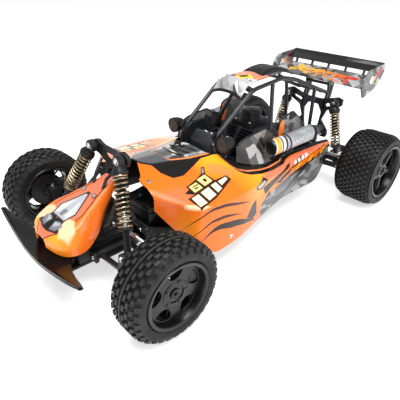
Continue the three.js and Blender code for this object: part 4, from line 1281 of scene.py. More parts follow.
def driveshaft():
    start, end = Vector((20, WHEELBASE, 44)), Vector((68, WHEELBASE, 45))
    along = (end - start).normalized()
    ball = [polar(3.5, angle) for angle in range(-90, 91, 15)]
    shapes = [(tube([start, end], 2.0), STEEL)]
    for middle in (start, end):
        shapes.append((lathe([(max(r, 0), h) for r, h in ball], middle, along, 24), STEEL))
        shapes.append((tube([middle - Vector((0, 3.8, 0)), middle + Vector((0, 3.8, 0))], 0.8), STEEL))
    shapes.append((
        lathe([(2.0, -3), (2.7, -2.4), (2.7, 2.4), (2.0, 3)], (start + end) / 2, along, 24), STEEL
    ))
    return shapes


def suspension():
    both_sides("front_arm", front_arm(), "front_arm")
    both_sides("rear_arm", rear_arm(), "rear_arm")
    both_sides("front_carrier", front_carrier(), "front_carrier")
    both_sides("rear_carrier", rear_carrier(), "rear_carrier")
    both_sides("steering_knuckle", knuckle(), "front_knuckle")
    both_sides("front_upper_link", link((24, 9, 60), (84, 9, 62)), "front_link")
    both_sides("rear_upper_link", link(
        (22, WHEELBASE - 13, 60), (70, WHEELBASE - 13, 61)
    ), "rear_link")
    both_sides("tie_rod", tie_rod(), "tie_rod")
    both_sides("driveshaft", driveshaft(), "driveshaft")
    assemble("steering_rack.detail", steering_rack(), "rack", ["steering_rack"])


# ---- Shock absorbers ----
SPRING_TOP = 12.4


def shock_can(shock, forward):
    """Cap, threaded can, collar and eye, turned about the shock's own line."""
    top = Vector(shock["top"])
    down = Vector(shock["foot"]) - top
    end = shock["can_end"]
    profile = [(0, 4.4), (4.6, 4.4), (6.2, 7), (6.9, 8.2), (6.9, 11.4), (6.4, 12), (4.0, 12.2)]
    height = 14.0
    while height < end - 3:
        profile += [(3.9, height), (4.3, height + 0.7)]
        height += 1.5
    profile += [(4.3, end - 2.4), (4.3, end - 0.6), (3.7, end), (1.9, end), (1.9, end - 4), (0, end - 4)]
    shapes = [(lathe(profile, top, down, 28), BLACK)]
    grips = bmesh.new()
    for i in range(14):
        made = bmesh.ops.create_cube(grips, size=1)["verts"]
        spot = Matrix.Rotation(2 * math.pi * i / 14, 4, "Z") @ Matrix.Translation((6.9, 0, 9.8))
        bmesh.ops.transform(grips, verts=made, matrix=spot @ Matrix.Diagonal((0.7, 1.0, 2.8, 1)))
    knurl = mesh_from(grips)
    knurl.transform(Matrix.Translation(top) @ aim(down))
    shapes.append((knurl, BLACK))
    shapes.append((eye(top, 6, 6, 2.4), BLACK))
    shapes.append((screw(top + Vector((0, forward * 2.6, 0)), (0, forward, 0), 2.5, 4.0), STEEL))
    return shapes


def shock_rod(shock):
    top = Vector(shock["top"])
    down = Vector(shock["foot"]) - top
    length = down.length
    cup = shock["cup"]
    rod = [(0, shock["can_end"] - 13), (1.5, shock["can_end"] - 13), (1.5, cup + 1), (0, cup + 1)]
    seat = [(1.5, cup), (6.2, cup), (6.6, cup + 0.6), (6.6, cup + 2), (5.6, cup + 2.8), (3.6, cup + 3.2)]
    foot = [(3.2, cup + 5), (3.4, length - 4), (2.8, length - 2), (0, length - 2)]
    ball = [(1.7, -2.7), (2.8, -2.7), (2.9, 2.7), (1.7, 2.7), (1.7, -2.7)]
    return [
        (lathe(rod, top, down, 20), STEEL),
        (lathe([*seat, *foot], top, down, 24), BLACK),
        (eye(shock["foot"], 4.6, 5, 2.9), BLACK),
        (lathe(ball, shock["foot"], (0, 1, 0), 20), BRASS),
    ]


def shocks():
    for place, shock, turns, forward in (("front", FRONT_SHOCK, 12, -1), ("rear", REAR_SHOCK, 12, -1)):
        both_sides(f"{place}_shock_body", shock_can(shock, forward), f"{place}_shock")
        both_sides(f"{place}_shock_rod", shock_rod(shock), f"{place}_rod")
        down = Vector(shock["foot"]) - Vector(shock["top"])
        coil = helix(5.9, SPRING_TOP + 0.2, shock["cup"] - 0.2, turns, 0.85, shock["top"], down)
        pieces = both_sides(f"{place}_spring", [(coil, SPRING)], f"{place}_shock")
        for side, sign in SIDES.items():
            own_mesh(pieces[side])


# ---- Body panels ----
def cut_by(mesh, cutter):
    """mesh with the cutter's volume taken away."""
    holders = [bpy.data.objects.new("holder", data) for data in (mesh, cutter)]
    for holder in holders:
        bpy.context.scene.collection.objects.link(holder)
    modifier = holders[0].modifiers.new("cut", "BOOLEAN")
    modifier.operation = "DIFFERENCE"
    modifier.solver = "EXACT"
    modifier.object = holders[1]
    bpy.context.view_layer.update()
    evaluated = holders[0].evaluated_get(bpy.context.evaluated_depsgraph_get())
    result = bpy.data.meshes.new_from_object(evaluated)
    for holder in holders:
        bpy.data.objects.remove(holder)
    return result


def folded(half):
    """A left half of (x, other) points and its mirror image."""
    return [*half, *[(-x, other) for x, other in reversed(half)]]


SHELL_ROWS = [
    (36, [(47, 72), (47, 86), (40, 91), (32, 93.5), (20, 98.5), (0, 104)]),
    (48, [(66, 52), (66, 83.5), (54, 87.5), (32, 93.5), (12, 101), (0, 103.5)]),
    (60, [(80, 38), (83, 81), (66, 85), (34, 92.5), (17, 99), (0, 102.5)]),
    (76, [(84, 26), (86, 80), (66, 84), (37, 90.5), (20, 97.5), (0, 101.5)]),
    (92, [(85, 25), (86.5, 79.5), (66, 84), (33, 92), (21, 97), (0, 101)]),
    (116, [(82.5, 25), (86, 79), (66, 84), (34, 93), (24, 97), (0, 99.5)]),
    (130, [(79.5, 25), (84.5, 78.5), (68, 83.5), (44, 90.5), (30, 95.5), (0, 97)]),
    (150, [(75, 25), (81, 77.5), (71, 80.5), (58, 84.5), (45, 86), (0, 88)]),
    (170, [(70, 25), (78.5, 76), (70, 78.5), (62, 79.5), (50, 80), (0, 82)]),
    (195, [(65, 25), (75.5, 75), (69, 77.5), (61, 79), (50, 80), (0, 82)]),
    (217, [(62, 25), (72, 73), (66, 77), (58, 79.5), (48, 80), (0, 82)]),
    (245, [(62, 25), (68.5, 72), (63, 76), (57, 79), (48, 80), (0, 82)]),
    (280, [(62, 26), (64.5, 71), (61, 74), (57, 77), (48, 78), (0, 80)]),
    (302, [(60, 52), (61.5, 70), (59.5, 72), (57, 74), (48, 75), (0, 77)]),
]
COCKPIT = [(22, 121), (29.8, 125), (31.5, 136), (40, 136), (50, 140), (57, 150), (61, 163), (63, 178)]
COCKPIT += [(61, 200), (58, 217), (57, 245), (56, 330)]


def body_shell():
    whole = skin(loft(SHELL_ROWS, (2.2, 5, 4, 3), steps=5), 1.6)
    nose_gap = folded([(30, 30), (23, 40), (9, 47), (3, 50)])
    cuts = [prism("z", folded(COCKPIT), 55, 135, 0.1, (), 4), prism("z", nose_gap, 70, 135, 0.1, (), 2)]
    for cutter in cuts:
        whole = cut_by(whole, cutter)
    shapes = [(whole, SHELL)]
    for side in (1, -1):
        for x, y, z in ((84.8, 100, 34), (61.9, 240, 34)):
            shapes.append((screw((side * x, y, z), (side, 0, 0), 1.7, 2.6), STEEL))
        shapes.append((screw((side * 31, 43, 93.8), (0, 0, 1), 1.6, 2.4), STEEL))
    fixed("body_shell", shapes)


def nose_cowl():
    rows = [
        (21, [(8.5, 87), (9, 91), (7.5, 96), (0, 96.5)]),
        (5, [(15, 72), (17, 78), (14.5, 88), (0, 89)]),
        (-10, [(26, 60), (26, 68), (20.5, 81.5), (0, 83)]),
        (-25, [(33, 53), (32.5, 62), (26.5, 76), (0, 77.5)]),
        (-36, [(33, 51), (32.5, 59), (26.5, 71.5), (0, 73.5)]),
        (-45, [(28.5, 51.5), (28.5, 57.5), (24, 67.5), (0, 69.5)]),
        (-50, [(20, 53), (20, 57.5), (17, 64), (0, 66)]),
        (-53, [(9, 54.5), (9, 58), (8, 61.5), (0, 63)]),
    ]
    shapes = [(skin(loft(rows, (2.5, 4), steps=6), 1.5), NOSE)]
    for side in (1, -1):
        shapes.append((screw((side * 9, -2, 88.2 - 1.2), (0, -0.35, 1), 1.6, 2.4), STEEL))
    fixed("nose_cowl", shapes)


def front_bumper():
    """A swept blade with a rolled front edge, on a ribbed neck."""
    half = [(77, -57.2, -55), (70, -58.3, -53.6), (60, -59.5, -52), (45, -61, -48.5), (33, -62.2, -44)]
    half += [(28, -62.7, -40.5), (25, -63, -37), (14, -63.8, -31), (0, -64, -30)]
    whole = [*[(-x, a, b) for x, a, b in half[:-1]], *reversed(half)]
    rows = []
    for x, front, back in whole:
        z = 46.5 + 11 * (x / 77) ** 2
        steps = 8
        row = []
        for k in range(steps + 1):
            t = k / steps
            dish = -1.1 * math.sin(math.pi * t) * min(1, (back - front) / 20)
            lift = 1.0 * (1 - t) ** 6
            row.append((x, front + (back - front) * t, z + dish + lift))
        rows.append(row)
    shapes = [(skin(rows, 2.6), GLOSS)]
    neck = [(-31, 27), (-31, 34), (-34, 44.5), (-46, 44.5), (-38, 27)]
    for x in (-12, -4.6, 2.6, 10):
        shapes.append((prism("x", neck, x, x + 2, 0.4), BLACK))
    shapes.append((box((-11.6, -41, 42), (11.6, -33, 44.4), 0.5), BLACK))
    for x in (-8, 8):
        shapes.append((screw((x, -44, 48.2), (0, 0, 1), 1.9), STEEL))
    fixed("front_bumper", shapes)


# The liner's flared side, as y and (x, z) points from the cockpit's edge up to the side panel.
LINER_FLARE = [
    (143, (47.5, 88), (46.8, 96), (46.2, 104)),
    (150, (53, 85.5), (50.4, 95), (46.2, 106)),
    (160, (57.5, 83), (53.2, 96), (46.2, 109.5)),
    (170, (59.5, 81.8), (52, 91), (46.2, 110.5)),
    (178, (60, 81.2), (53.6, 89), (46.2, 104)),
    (186, (60, 80.8), (51, 84.5), (46.2, 92)),
]


def cockpit_liner():
    panel = [(146, 62), (146, 105), (158, 110), (188, 113), (198, 106), (211, 102), (214, 116)]
    panel += [(236, 122), (250, 111), (264, 96), (264, 80), (190, 62)]
    shapes = []
    for side in (1, -1):
        start, end = sorted((side * 44.6, side * 46.2))
        shapes.append((prism("x", panel, start, end, 0.5, (), 3), LINER))
        edge = [(side * 45.4, y, z) for y, z in panel[1:-2]]
        shapes.append((tube(edge, 1.1, 4, 2), BLACK))
        rows = []
        for y, *points in LINER_FLARE:
            rows.append([(side * x, y, z) for x, z in points])
        shapes.append((skin(rows, 1.2), LINER))
        flange = [(side * 45.5, 148, 82), (side * 54, 156, 79), (side * 58.6, 170, 77), (side * 57, 190, 76)]
        shapes.append((tube(flange, 1.2, 6, 2), BLACK))
        bolster = [(150, 66), (150, 98), (160, 104), (182, 104), (188, 92), (188, 66)]
        start, end = sorted((side * 41, side * 44.4))
        shapes.append((prism("x", bolster, start, end, 1.2, (), 4), CARBON))
    shapes.append((box((-46, 146.5, 62.5), (46, 189, 64.5), 0.5), BLACK))
    dash = [(134, 62), (136, 98), (146, 107), (154, 100), (156, 62)]
    shapes.append((prism("x", dash, -17, 17, 1.2, (), 3), CARBON))
    for x in (-9, 0, 9):
        dial = [(0, 0), (3.6, 0), (3.6, 0.8), (3.0, 1.1), (2.8, 0.6), (0, 0.6)]
        shapes.append((lathe(dial, (x, 152.4, 102), (0, 0.75, 0.66), 24), STEEL))
    for y in (150, 156, 162, 168, 174, 180):
        shapes.append((box((-36, y, 64.2), (36, y + 2, 65.2), 0.3), BLACK))
    for side in (1, -1):
        seat = [(side * 6, 158, 66), (side * 6, 172, 70), (side * 9, 184, 96), (side * 12, 186, 106)]
        shapes.append((tube(seat, 2.6, 6, 4), CARBON))
    wheel = [(7 * math.cos(a), 159 + 3 * math.sin(a), 100 + 6.4 * math.sin(a)) for a in
             [2 * math.pi * i / 24 for i in range(24)]]
    shapes.append((tube(wheel, 1.1, 0, 3, closed=True), BLACK))
    shapes.append((tube([(0, 153, 96), (0, 159, 100)], 1.3), BLACK))
    fixed("cockpit_liner", shapes)


def roof_panel():
    rows = [
        (172, [(20.5, 142), (12, 145), (0, 146)]),
        (186, [(20.5, 155), (12, 158), (0, 159)]),
        (215, [(18, 157.5), (11, 160), (0, 161)]),
        (247, [(16.5, 158), (10, 159.5), (0, 160)]),
    ]
    shapes = [(skin(loft(rows, (4,), steps=5), 1.5), ROOF)]
    scoop_rows = []
    for y, half, low, high in (
        (211, 15, 158.2, 159.4),
        (217, 15, 158.4, 161.6),
        (226, 14.6, 158.6, 163.4),
        (238, 14, 158.4, 163.9),
        (250, 13.4, 157.4, 162.2),
        (264, 12.6, 154.6, 158.4),
        (277, 11.8, 150.6, 152.4),
    ):
        scoop_rows.append((y, [(half, low), (half - 1, high - 1.2), (half - 4, high), (0, high + 0.4)]))
    shapes.append((skin(loft(scoop_rows, (1.6, 2), steps=4), 1.3), BLACK))
    for i in range(7):
        x = -10.5 + 3.5 * i
        rib = [(x, 216, 161.2), (x, 228, 163.4), (x, 240, 163.8), (x, 252, 161.6), (x, 266, 157.2)]
        shapes.append((tube(rib, 0.55, 3, 2), CARBON))
    for x in (-17, 17):
        for y in (192, 236):
            shapes.append((screw((x, y, 157.4), (0, 0, 1), 1.5, 2.2), STEEL))
    fixed("roof_panel", shapes)


def rear_wing():
    end_plate = [(347, 119.5), (338, 135), (349, 152.5), (391, 156), (392, 147), (387, 139), (372, 127)]
    main = [(339, 132.4), (352, 133.7), (375, 140.2), (374.6, 142.3), (354, 138), (341, 135.6)]
    flap = [(372, 147.4), (376, 146.2), (385, 149.6), (391.6, 153.8), (391.8, 157), (390, 157), (384, 152.6)]
    web = [(370, 139), (374, 139.5), (377, 148), (373, 148.5)]
    shapes = [
        (prism("x", end_plate, 68.4, 70.4, 0.5, (), 3), WING),
        (prism("x", end_plate, -70.4, -68.4, 0.5, (), 3), WING),
        (prism("x", main, -68.6, 68.6, 0.4, (), 1.2), WING),
        (prism("x", flap, -68.6, 68.6, 0.3, (), 1), GLOSS),
    ]
    for x in (-52, -26, 0, 26, 52):
        shapes.append((prism("x", web, x - 1, x + 1, 0.3), BLACK))
    for x in (-17, 17):
        for y in (353, 364):
            z = 138 + (y - 354) * 0.2
            shapes.append((screw((x, y, z), (0, -0.2, 1), 1.8, 2.6), STEEL))
    for side in (1, -1):
        for y, z in ((352, 136), (370, 141.4), (382, 151)):
            shapes.append((screw((side * 70.2, y, z), (side, 0, 0), 1.3), STEEL))
    fixed("rear_wing", shapes)


# ---- Roll cage, lamps and exhausts ----
def roll_cage():
    shapes = []
    for side in (1, -1):
        rail = [(30, 132, 22), (30, 132, 64), (24.2, 131, 107.5), (25.3, 187, 150), (20.7, 245, 152.8)]
        rail += [(20, 270, 147), (22, 310, 131), (22, 341, 119)]
        post = [(22.4, 224, 151.8), (41, 204, 98), (41, 204, 22)]
        stay = [(22, 312, 130), (19, 317, 70)]
        for line, bend in ((rail, 9), (post, 12), (stay, 0)):
            shapes.append((tube([(side * x, y, z) for x, y, z in line], 2.4, bend, 5), SATIN))
        gusset = [(131, 108), (138, 113), (133, 117), (128, 112)]
        start, end = sorted((side * 22.8, side * 25.6))
        shapes.append((prism("x", gusset, start, end, 0.5), BLACK))
        for x, y, z, way in (
            (25.6, 131, 104, (1, -0.4, 0)), (22.6, 232, 152.4, (1, 0, 0.3)), (43, 204, 92, (1, 0, 0))
        ):
            place = (side * x, y, z)
            shapes.append((screw(place, (side * way[0], way[1], way[2]), 1.7), STEEL))
    for x, y, z in ((25.3, 187, 150), (20.7, 245, 152.8), (22, 335, 121.5)):
        shapes.append((tube([(-x, y, z), (x, y, z)], 2.4, 0, 5), SATIN))
        for side in (1, -1):
            collar = [(2.4, -1.6), (3.1, -1.3), (3.1, 1.3), (2.4, 1.6), (2.4, -1.6)]
            shapes.append((lathe(collar, (side * (x - 5), y, z), (1, 0, 0), 20), BLACK))
    fixed("roll_cage", shapes)


def lamp():
    """A pod with a raised rim, and a mesh of crossed wires over its reflector."""
    middle = Vector((39, 129, 107.5))
    can = [(
        0, 2.6
    ), (6.9, 2.6), (7.1, 0.8), (7.6, 0), (8.4, 0.2), (8.4, 4.6), (7.8, 6.4), (6.2, 12.6), (4, 14), (0, 14)]
    dish = [(6.8, 0.9), (4.6, 2.2), (1.8, 2.7), (1.8, 1.8), (0, 1.6)]
    shapes = [(lathe(can, middle, (0, 1, 0), 48), BLACK), (lathe(dish, middle, (0, 1, 0), 32), CARBON)]
    for i in range(-3, 4):
        offset = i * 2.0
        reach = math.sqrt(max(7.2**2 - offset**2, 0))
        for ends in (
            [(offset, -reach), (offset, reach)],
            [(-reach, offset), (reach, offset)],
        ):
            line = [middle + Vector((u, 0.5, w)) for u, w in ends]
            shapes.append((tube(line, 0.42, 0, 2), MESH))
    shapes.append((tube([(34, 139, 109), (30.5, 139.4, 110.6), (27.8, 139, 112)], 1.8, 2, 4), BLACK))
    shapes.append((screw((39, 136, 115), (0, 0, 1), 1.4), STEEL))
    return shapes


def exhaust():
    """A ribbed silencer with a printed collar, and a stepped tail."""
    start = Vector((56.6, 187, 93.5))
    way = Vector((5.4, 82, 4.2))
    can = [(0, 1.6), (5.2, 1.6), (5.6, 0.2), (7.4, 0), (8.2, 1.4), (8.8, 3), (8.8, 20.6), (8.3, 21.4)]
    height = 22.4
    while height < 64:
        can += [(8.25, height), (8.75, height + 0.5), (8.75, height + 1.4), (8.25, height + 1.9)]
        height += 2.6
    can += [(
        8.8, 66.4
    ), (8.8, 68), (7.0, 72), (5.5, 78), (5.5, 79.4), (3.9, 81), (3.5, 85.6), (2.6, 86), (2.6, 82), (0, 82)]
    strap = [(8.8, 22.4), (9.1, 22.6), (9.1, 24.4), (8.8, 24.6)]
    return [
        (lathe(can, start, way, 56), EXHAUST),
        (lathe([*strap, strap[0]], start, way, 56), BLACK),
        (tube(
            [start + way * 0.3 - Vector((4, 0, 5)), start + way * 0.3 - Vector((9, 0, 13))], 1.5, 0, 3
        ), BLACK),
    ]


# ---- Chassis, towers and what they carry ----
def chassis_tub():
    outline = folded([(17, 28), (22, 44), (50, 76), (54, 100), (54, 230), (40, 276), (24, 296), (24, 348)])
    hollow = folded([
        (19.5, 30), (20.4, 45.4), (47.2, 77.4), (51, 101), (51, 229), (37.4, 274), (21, 294.4), (21, 345)
    ])
    lower = [(x, y) for x, y in outline if y > 40]
    shapes = [
        (prism("z", lower, 18, 21, 0.8, (), 5), BLACK),
        (prism("z", lower, 20.6, 38, 0.6, [[p for p in hollow if p[1] > 44]], 4), BLACK),
    ]
    kick = [(46, 18), (46, 21), (30, 26.5), (-38, 26.5), (-38, 23.5), (26, 23.5)]
    shapes.append((prism("x", kick, -17, 17, 0.6), BLACK))
    for i in range(9):
        y = 92 + i * 16
        for side in (1, -1):
            start, end = sorted((side * 53.8, side * 55))
            shapes.append((box((start, y, 19.4), (end, y + 2.2, 36.6), 0.3), BLACK))
    for x in (-10, 10):
        for y in (-30, -4, 20, 300, 336):
            z = 23.5 if y < 26 else 18
            shapes.append((screw((x, y, z + 0.5), (0, 0, -1), 2.2), STEEL))
    fixed("chassis_tub", shapes)


def front_bulkhead():
    """The box round the arms' pins, and the open tower with its two slanting bars."""
    x, y, z = FRONT_SHOCK["top"]
    face = y + 4.8
    shapes = [
        (box((-17, -29, 27), (17, face + 3.6, 40), 1), BLACK),
        (prism("y", [(-15, 39), (15, 39), (12, 60), (-12, 60)], -8, face + 2, 0.8), BLACK),
    ]
    for low in (-18, 25):
        shapes.append((
            prism("y", folded([(27, 28), (27, 36), (24, 38), (12, 38)]), low, low + 4, 0.6, (), 1), BLACK
        ))
    outline = folded(
        [(
            14, 57
        ), (29, 57.6), (29, 64), (17.6, 71), (16, 90), (7.4, 105), (18, z - 8.6), (27, z - 7), (30, z)]
        + [(28, z + 4), (20, z + 6), (12, z + 3)]
    )
    holes = [
        folded([(11, 66), (12.6, 72), (11.6, 88), (2.4, 102)]),
        folded([(2, 109), (9, 111), (11, 116), (2, 117)]),
    ]
    shapes.append((prism("y", outline, face, face + 4, 0.7, holes, 1.5), BLACK))
    for side in (1, -1):
        shapes.append((tube([(side * x, y - 4.4, z), (side * x, face + 1, z)], 1.6), STEEL))
        shapes.append((nut((side * x, face + 3.8, z), (0, 1, 0), 3, 2.2), STEEL))
        link_x = side * 24
        shapes.append((tube([(link_x, 6, 60), (link_x, face + 1, 60)], 1.6), STEEL))
        shapes.append((screw((link_x, 6.2, 60), (0, -1, 0), 2.4), STEEL))
        shapes.append((tube([(side * 22, -18.4, 33), (side * 22, 29.2, 33)], 1.6), STEEL))
        shapes.append((screw((side * 22, -18, 33), (0, -1, 0), 2.2), STEEL))
        brace = [(side * 18.5, face + 1, 96), (side * 29, -2, 66), (side * 15, -2, 52)]
        shapes.append((tube(brace, 1.7, 3, 4), SATIN))
        upper = [(side * 14, face - 0.6, 108), (side * 9, 12, 98), (side * 7, 6, 84)]
        shapes.append((tube(upper, 1.5, 2, 4), SATIN))
        for height in (45, 52):
            shapes.append((
                box((side * 12 - 3.4, -7.4, height), (side * 12 + 3.4, face, height + 1.6), 0.4), BLACK
            ))
    for spot in ((-11, -22), (11, -22), (-11, -12), (11, -12)):
        shapes.append((screw((*spot, 40), (0, 0, 1), 1.9), STEEL))
    fixed("front_bulkhead", shapes)


def rear_shock_tower():
    x, y, z = REAR_SHOCK["top"]
    face = y + 7.4
    outline = folded(
        [(13, 40), (14, 54), (27, 54.6), (28, 60), (27, 65), (16, 77), (22, 92), (36, z - 9), (43.4, z - 4)]
        + [(43.4, z + 4), (36, z + 6), (20, z + 1), (10, z - 1)]
    )
    holes = [
        folded([(9, 58), (12, 72), (14, 88), (8, 98)]),
        [(20, 97), (32, 101), (32, 105), (18, 101)],
        [(-20, 97), (-32, 101), (-32, 105), (-18, 101)],
    ]
    shapes = [(prism("y", outline, face, face + 4, 0.7, holes, 1.4), CARBON)]
    strut = [
        (face, 92), (362, 108), (366, 130), (366, 135.5), (358, 133.5), (350, 131), (353, 118), (face, 106)
    ]
    window = [(face + 4, 99), (356, 108), (360, 124), (357, 124), (355, 113), (face + 4, 104)]
    for side in (1, -1):
        start, end = side * 17 - 1.5, side * 17 + 1.5
        shapes.append((prism("x", strut, start, end, 0.5, [window], 1.5), SATIN))
        shapes.append((tube([(side * x, y - 4.4, z), (side * x, face + 1, z)], 1.6), STEEL))
        shapes.append((nut((side * x, face + 3.8, z), (0, 1, 0), 3, 2.2), STEEL))
        link_x, link_y = side * 22, WHEELBASE - 13
        shapes.append((tube([(link_x, link_y - 3.4, 60), (link_x, face + 1, 60)], 1.6), STEEL))
        shapes.append((screw((link_x, link_y - 3, 60), (0, -1, 0), 2.4), STEEL))
        shapes.append((screw((side * 17 + side * 1.3, 357, 128), (side, 0, 0), 1.7), STEEL))
        for hole in ((34, z + 1.4), (31, z), (28.4, z - 1.2)):
            shapes.append((nut((side * hole[0], face + 3.6, hole[1] - 3.4), (0, 1, 0), 1.3, 0.8), STEEL))
    shapes.append((tube([(-17, 355, 126), (17, 355, 126)], 2), SATIN))
    fixed("rear_shock_tower", shapes)


def rear_gearbox():
    y = WHEELBASE
    side_view = [
        (y - 44, 22), (y + 19, 22), (y + 20, 50), (y + 12, 62), (y - 8, 66), (y - 40, 66), (y - 44, 60)
    ]
    shapes = [
        (prism("x", side_view, -13.4, -0.3, 1, (), 3), BLACK),
        (prism("x", side_view, 0.3, 13.4, 1, (), 3), BLACK),
        (prism("x", side_view, -0.5, 0.5, 0.1, (), 3), SATIN),
    ]
    for side in (1, -1):
        boss = [(3.9, 0), (5, 0), (5, 8.6), (7.6, 9), (7.6, 11), (3.9, 11)]
        start = (side * 24, y, 44)
        shapes.append((lathe([*boss, boss[0]], start, (-side, 0, 0), 32), BLACK))
        shapes.append((tube([(side * 20, y - 20, 33.5), (side * 20, y + 16, 33.5)], 1.6), STEEL))
        shapes.append((screw((side * 20, y + 16.2, 33.5), (0, 1, 0), 2.2), STEEL))
        for spot_y, spot_z in ((y - 38, 60), (y - 38, 27), (y + 14, 27), (y + 10, 56), (y - 12, 60)):
            shapes.append((screw((side * 13.3, spot_y, spot_z), (side, 0, 0), 1.6), STEEL))
        for i in range(4):
            rib_y = y - 30 + i * 9
            start_x, end_x = sorted((side * 13, side * 14.6))
            beside_spur = side < 0 and abs(rib_y - SPUR_Y) <= SPUR_REACH
            if not beside_spur:
                shapes.append((box((start_x, rib_y, 24), (end_x, rib_y + 1.4, 40), 0.3), BLACK))
    for low in (y - 20.3, y + 12.4):
        ear = folded([(25, 29), (25, 36), (22, 38), (10, 38)])
        shapes.append((prism("y", ear, low, low + 4, 0.6, (), 1), BLACK))
    shapes.append((tube([(-25, y - 38, 58), (-13, y - 38, 58)], 2.2), STEEL))
    fixed("rear_gearbox", shapes)


def motor():
    y, z = WHEELBASE - 62, 58
    can = [(0, -14.6), (9, -15), (13.4, -14.4), (14, -13.4), (14, -8), (13.6, -7.6), (13.6, -6.6), (14, -6.2)]
    can += [
        (14, 17), (13.4, 17.6), (13.4, 24), (12.4, 25), (5.2, 25), (5, 28), (1.6, 28.2), (1.6, 30), (0, 30)
    ]
    shapes = [(lathe(can, (0, y, z), (1, 0, 0), 48), ALLOY), (tube([(-26, y, z), (-14, y, z)], 1.5), STEEL)]
    for i in range(10):
        fin = [(13.6, 0), (14, 0.2), (14, 0.9), (13.6, 1.1)]
        shapes.append((lathe([*fin, fin[0]], (-4 + i * 2, y, z), (1, 0, 0), 48), BLACK))
    fixed("motor", shapes)


def engine_block():
    """A dummy engine: a finned block with a head, a filter on top and pipes at its sides."""
    shapes = [(box((-15, 200, 62), (15, 236, 106), 1.6), BLACK)]
    for z in (66, 70, 74, 78, 82, 86, 90, 94, 98):
        shapes.append((box((-24, 198, z), (24, 238, z + 1.5), 0.5), CARBON))
    filter_can = [(0, 104), (12, 104)]
    for i in range(8):
        filter_can += [(12, 105 + i * 1.5), (11.2, 105.7 + i * 1.5)]
    filter_can += [(11.4, 117), (9, 118), (0, 118)]
    shapes.append((lathe(filter_can, (0, 218, 0), (0, 0, 1), 32), CARBON))
    shapes.append((nut((0, 218, 117.6), (0, 0, 1), 2.4, 0.4), STEEL))
    for side in (1, -1):
        for y in (206, 218, 230):
            pipe_line = [(side * 14, y, 92), (side * 21, y + 2, 96), (side * 24.4, y + 6, 90)]
            shapes.append((tube(pipe_line, 2, 3, 4), ALLOY))
        for y in (203, 233):
            shapes.append((screw((side * 11, y, 106), (0, 0, 1), 1.8), STEEL))
    fixed("engine_block", shapes)


def battery():
    shapes = [(box((-23, 84, 21.4), (23, 180, 45), 3), WRAP)]
    for y in (100, 132, 164):
        shapes.append((box((-23.4, y, 21.4), (23.4, y + 3, 45.4), 0.4), BLACK))
    fixed("battery", shapes)


def steering_servo():
    shapes = [
        (box((-20, 48, 21.4), (20, 67.6, 50), 1), BLACK),
        (box((-20, 48, 50.4), (20, 68, 57.6), 1), BLACK),
        (lathe(
            [(0, 0), (5, 0), (5, 2), (3.4, 2.4), (3.4, 5), (0, 5.4)], (0, 53, 57.4), (0, 0, 1), 32
        ), BLACK),
        (prism(
            "z", [(-3, 36), (3, 36), (4, 50), (4, 56), (-4, 56), (-4, 50)], 60.4, 62.8, 0.5, (), 2
        ), SATIN),
        (screw((0, 53, 62.8), (0, 0, 1), 1.8), STEEL),
    ]
    for x in (-17, 17):
        for y in (50.6, 65):
            shapes.append((screw((x, y, 57.4), (0, 0, 1), 1.3), STEEL))
    fixed("steering_servo", shapes)


def gears():
    """The two gears keep their CAD teeth, with a finer finish."""
    for name, material in (("spur_gear", BLACK), ("pinion", STEEL)):
        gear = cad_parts[name]
        gear.data.materials.clear()
        gear.data.materials.append(material)


# ---- Floor, light and camera ----
def add_floor():
    paint = Paint("studio_floor", Emission_Color=(1, 1, 1, 1), Emission_Strength=0.55)
    shade = paint.mix(paint.noise(1.5, 2), tint(236, 236, 236), tint(242, 242, 242))
    paint.bump(paint.noise(300, 2), 0.02, 0.0002)
    material = paint.finish(shade, paint.spread(paint.noise(4, 2), 0.3, 0.7, 0.7, 0.8))
    builder = bmesh.new()
    bmesh.ops.create_grid(builder, x_segments=8, y_segments=8, size=30)
    mesh = mesh_from(builder)
    mesh.materials.append(material)
    floor = bpy.data.objects.new("studio_floor", mesh)
    bpy.context.scene.collection.objects.link(floor)


def add_light(name, place, size, power, target=(0, 0, 0.06)):
    light = bpy.data.lights.new(name, "AREA")
    light.shape = "DISK"
    light.size = size
    light.energy = power
    lamp_object = bpy.data.objects.new(name, light)
    lamp_object.location = place
    lamp_object.rotation_mode = "QUATERNION"
    lamp_object.rotation_quaternion = (Vector(target) - Vector(place)).to_track_quat("-Z", "Y")
    bpy.context.scene.collection.objects.link(lamp_object)


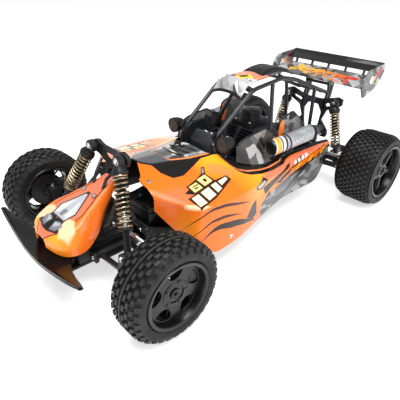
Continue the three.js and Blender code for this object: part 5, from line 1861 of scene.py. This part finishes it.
def add_lights():
    world = bpy.data.worlds.new("studio")
    world.use_nodes = True
    # White at the horizon and greyer overhead, so that glossy tops keep their own colour.
    tree = world.node_tree
    direction = tree.nodes.new("ShaderNodeTexCoord")
    split = tree.nodes.new("ShaderNodeSeparateXYZ")
    tree.links.new(direction.outputs["Generated"], split.inputs[0])
    fade = tree.nodes.new("ShaderNodeMapRange")
    for socket, value in zip(fade.inputs[1:5], WORLD_FADE):
        socket.default_value = value
    tree.links.new(split.outputs[2], fade.inputs[0])
    background = tree.nodes["Background"]
    background.inputs["Color"].default_value = (1, 1, 1, 1)
    tree.links.new(fade.outputs[0], background.inputs["Strength"])
    bpy.context.scene.world = world
    add_light("key", (0.45, -0.3, 1.3), 0.8, 15)
    add_light("fill", (1.2, 0.3, 0.7), 0.9, 5)
    add_light("top", (-0.3, -0.1, 1.5), 0.9, 9)
    bpy.context.scene.view_settings.view_transform = "Standard"


def add_camera():
    azimuth, elevation, roll = [math.radians(a) for a in CAMERA_TURN]
    level = math.cos(elevation)
    back = Vector((math.sin(azimuth) * level, -math.cos(azimuth) * level, math.sin(elevation)))
    level_right = (-back).cross(Vector((0, 0, 1))).normalized()
    level_up = level_right.cross(-back)
    right = math.cos(roll) * level_right + math.sin(roll) * level_up
    up = -math.sin(roll) * level_right + math.cos(roll) * level_up
    data = bpy.data.cameras.new("camera")
    data.sensor_width = 36
    data.lens = CAMERA_LENS
    data.shift_x, data.shift_y = CAMERA_SHIFT
    data.clip_start = 0.01
    camera = bpy.data.objects.new("camera", data)
    turn = Matrix((right, up, back)).transposed().to_4x4()
    camera.matrix_world = Matrix.Translation(CAMERA_PLACE) @ turn
    bpy.context.scene.collection.objects.link(camera)
    bpy.context.scene.camera = camera


def main():
    wheels()
    suspension()
    shocks()
    body_shell()
    nose_cowl()
    front_bumper()
    cockpit_liner()
    roof_panel()
    rear_wing()
    roll_cage()
    both_sides("lamp", lamp(), "chassis", fixed_body=True)
    both_sides("exhaust", exhaust(), "chassis", fixed_body=True)
    chassis_tub()
    front_bulkhead()
    rear_shock_tower()
    rear_gearbox()
    motor()
    engine_block()
    battery()
    steering_servo()
    gears()
    add_floor()
    add_lights()
    add_camera()


main()
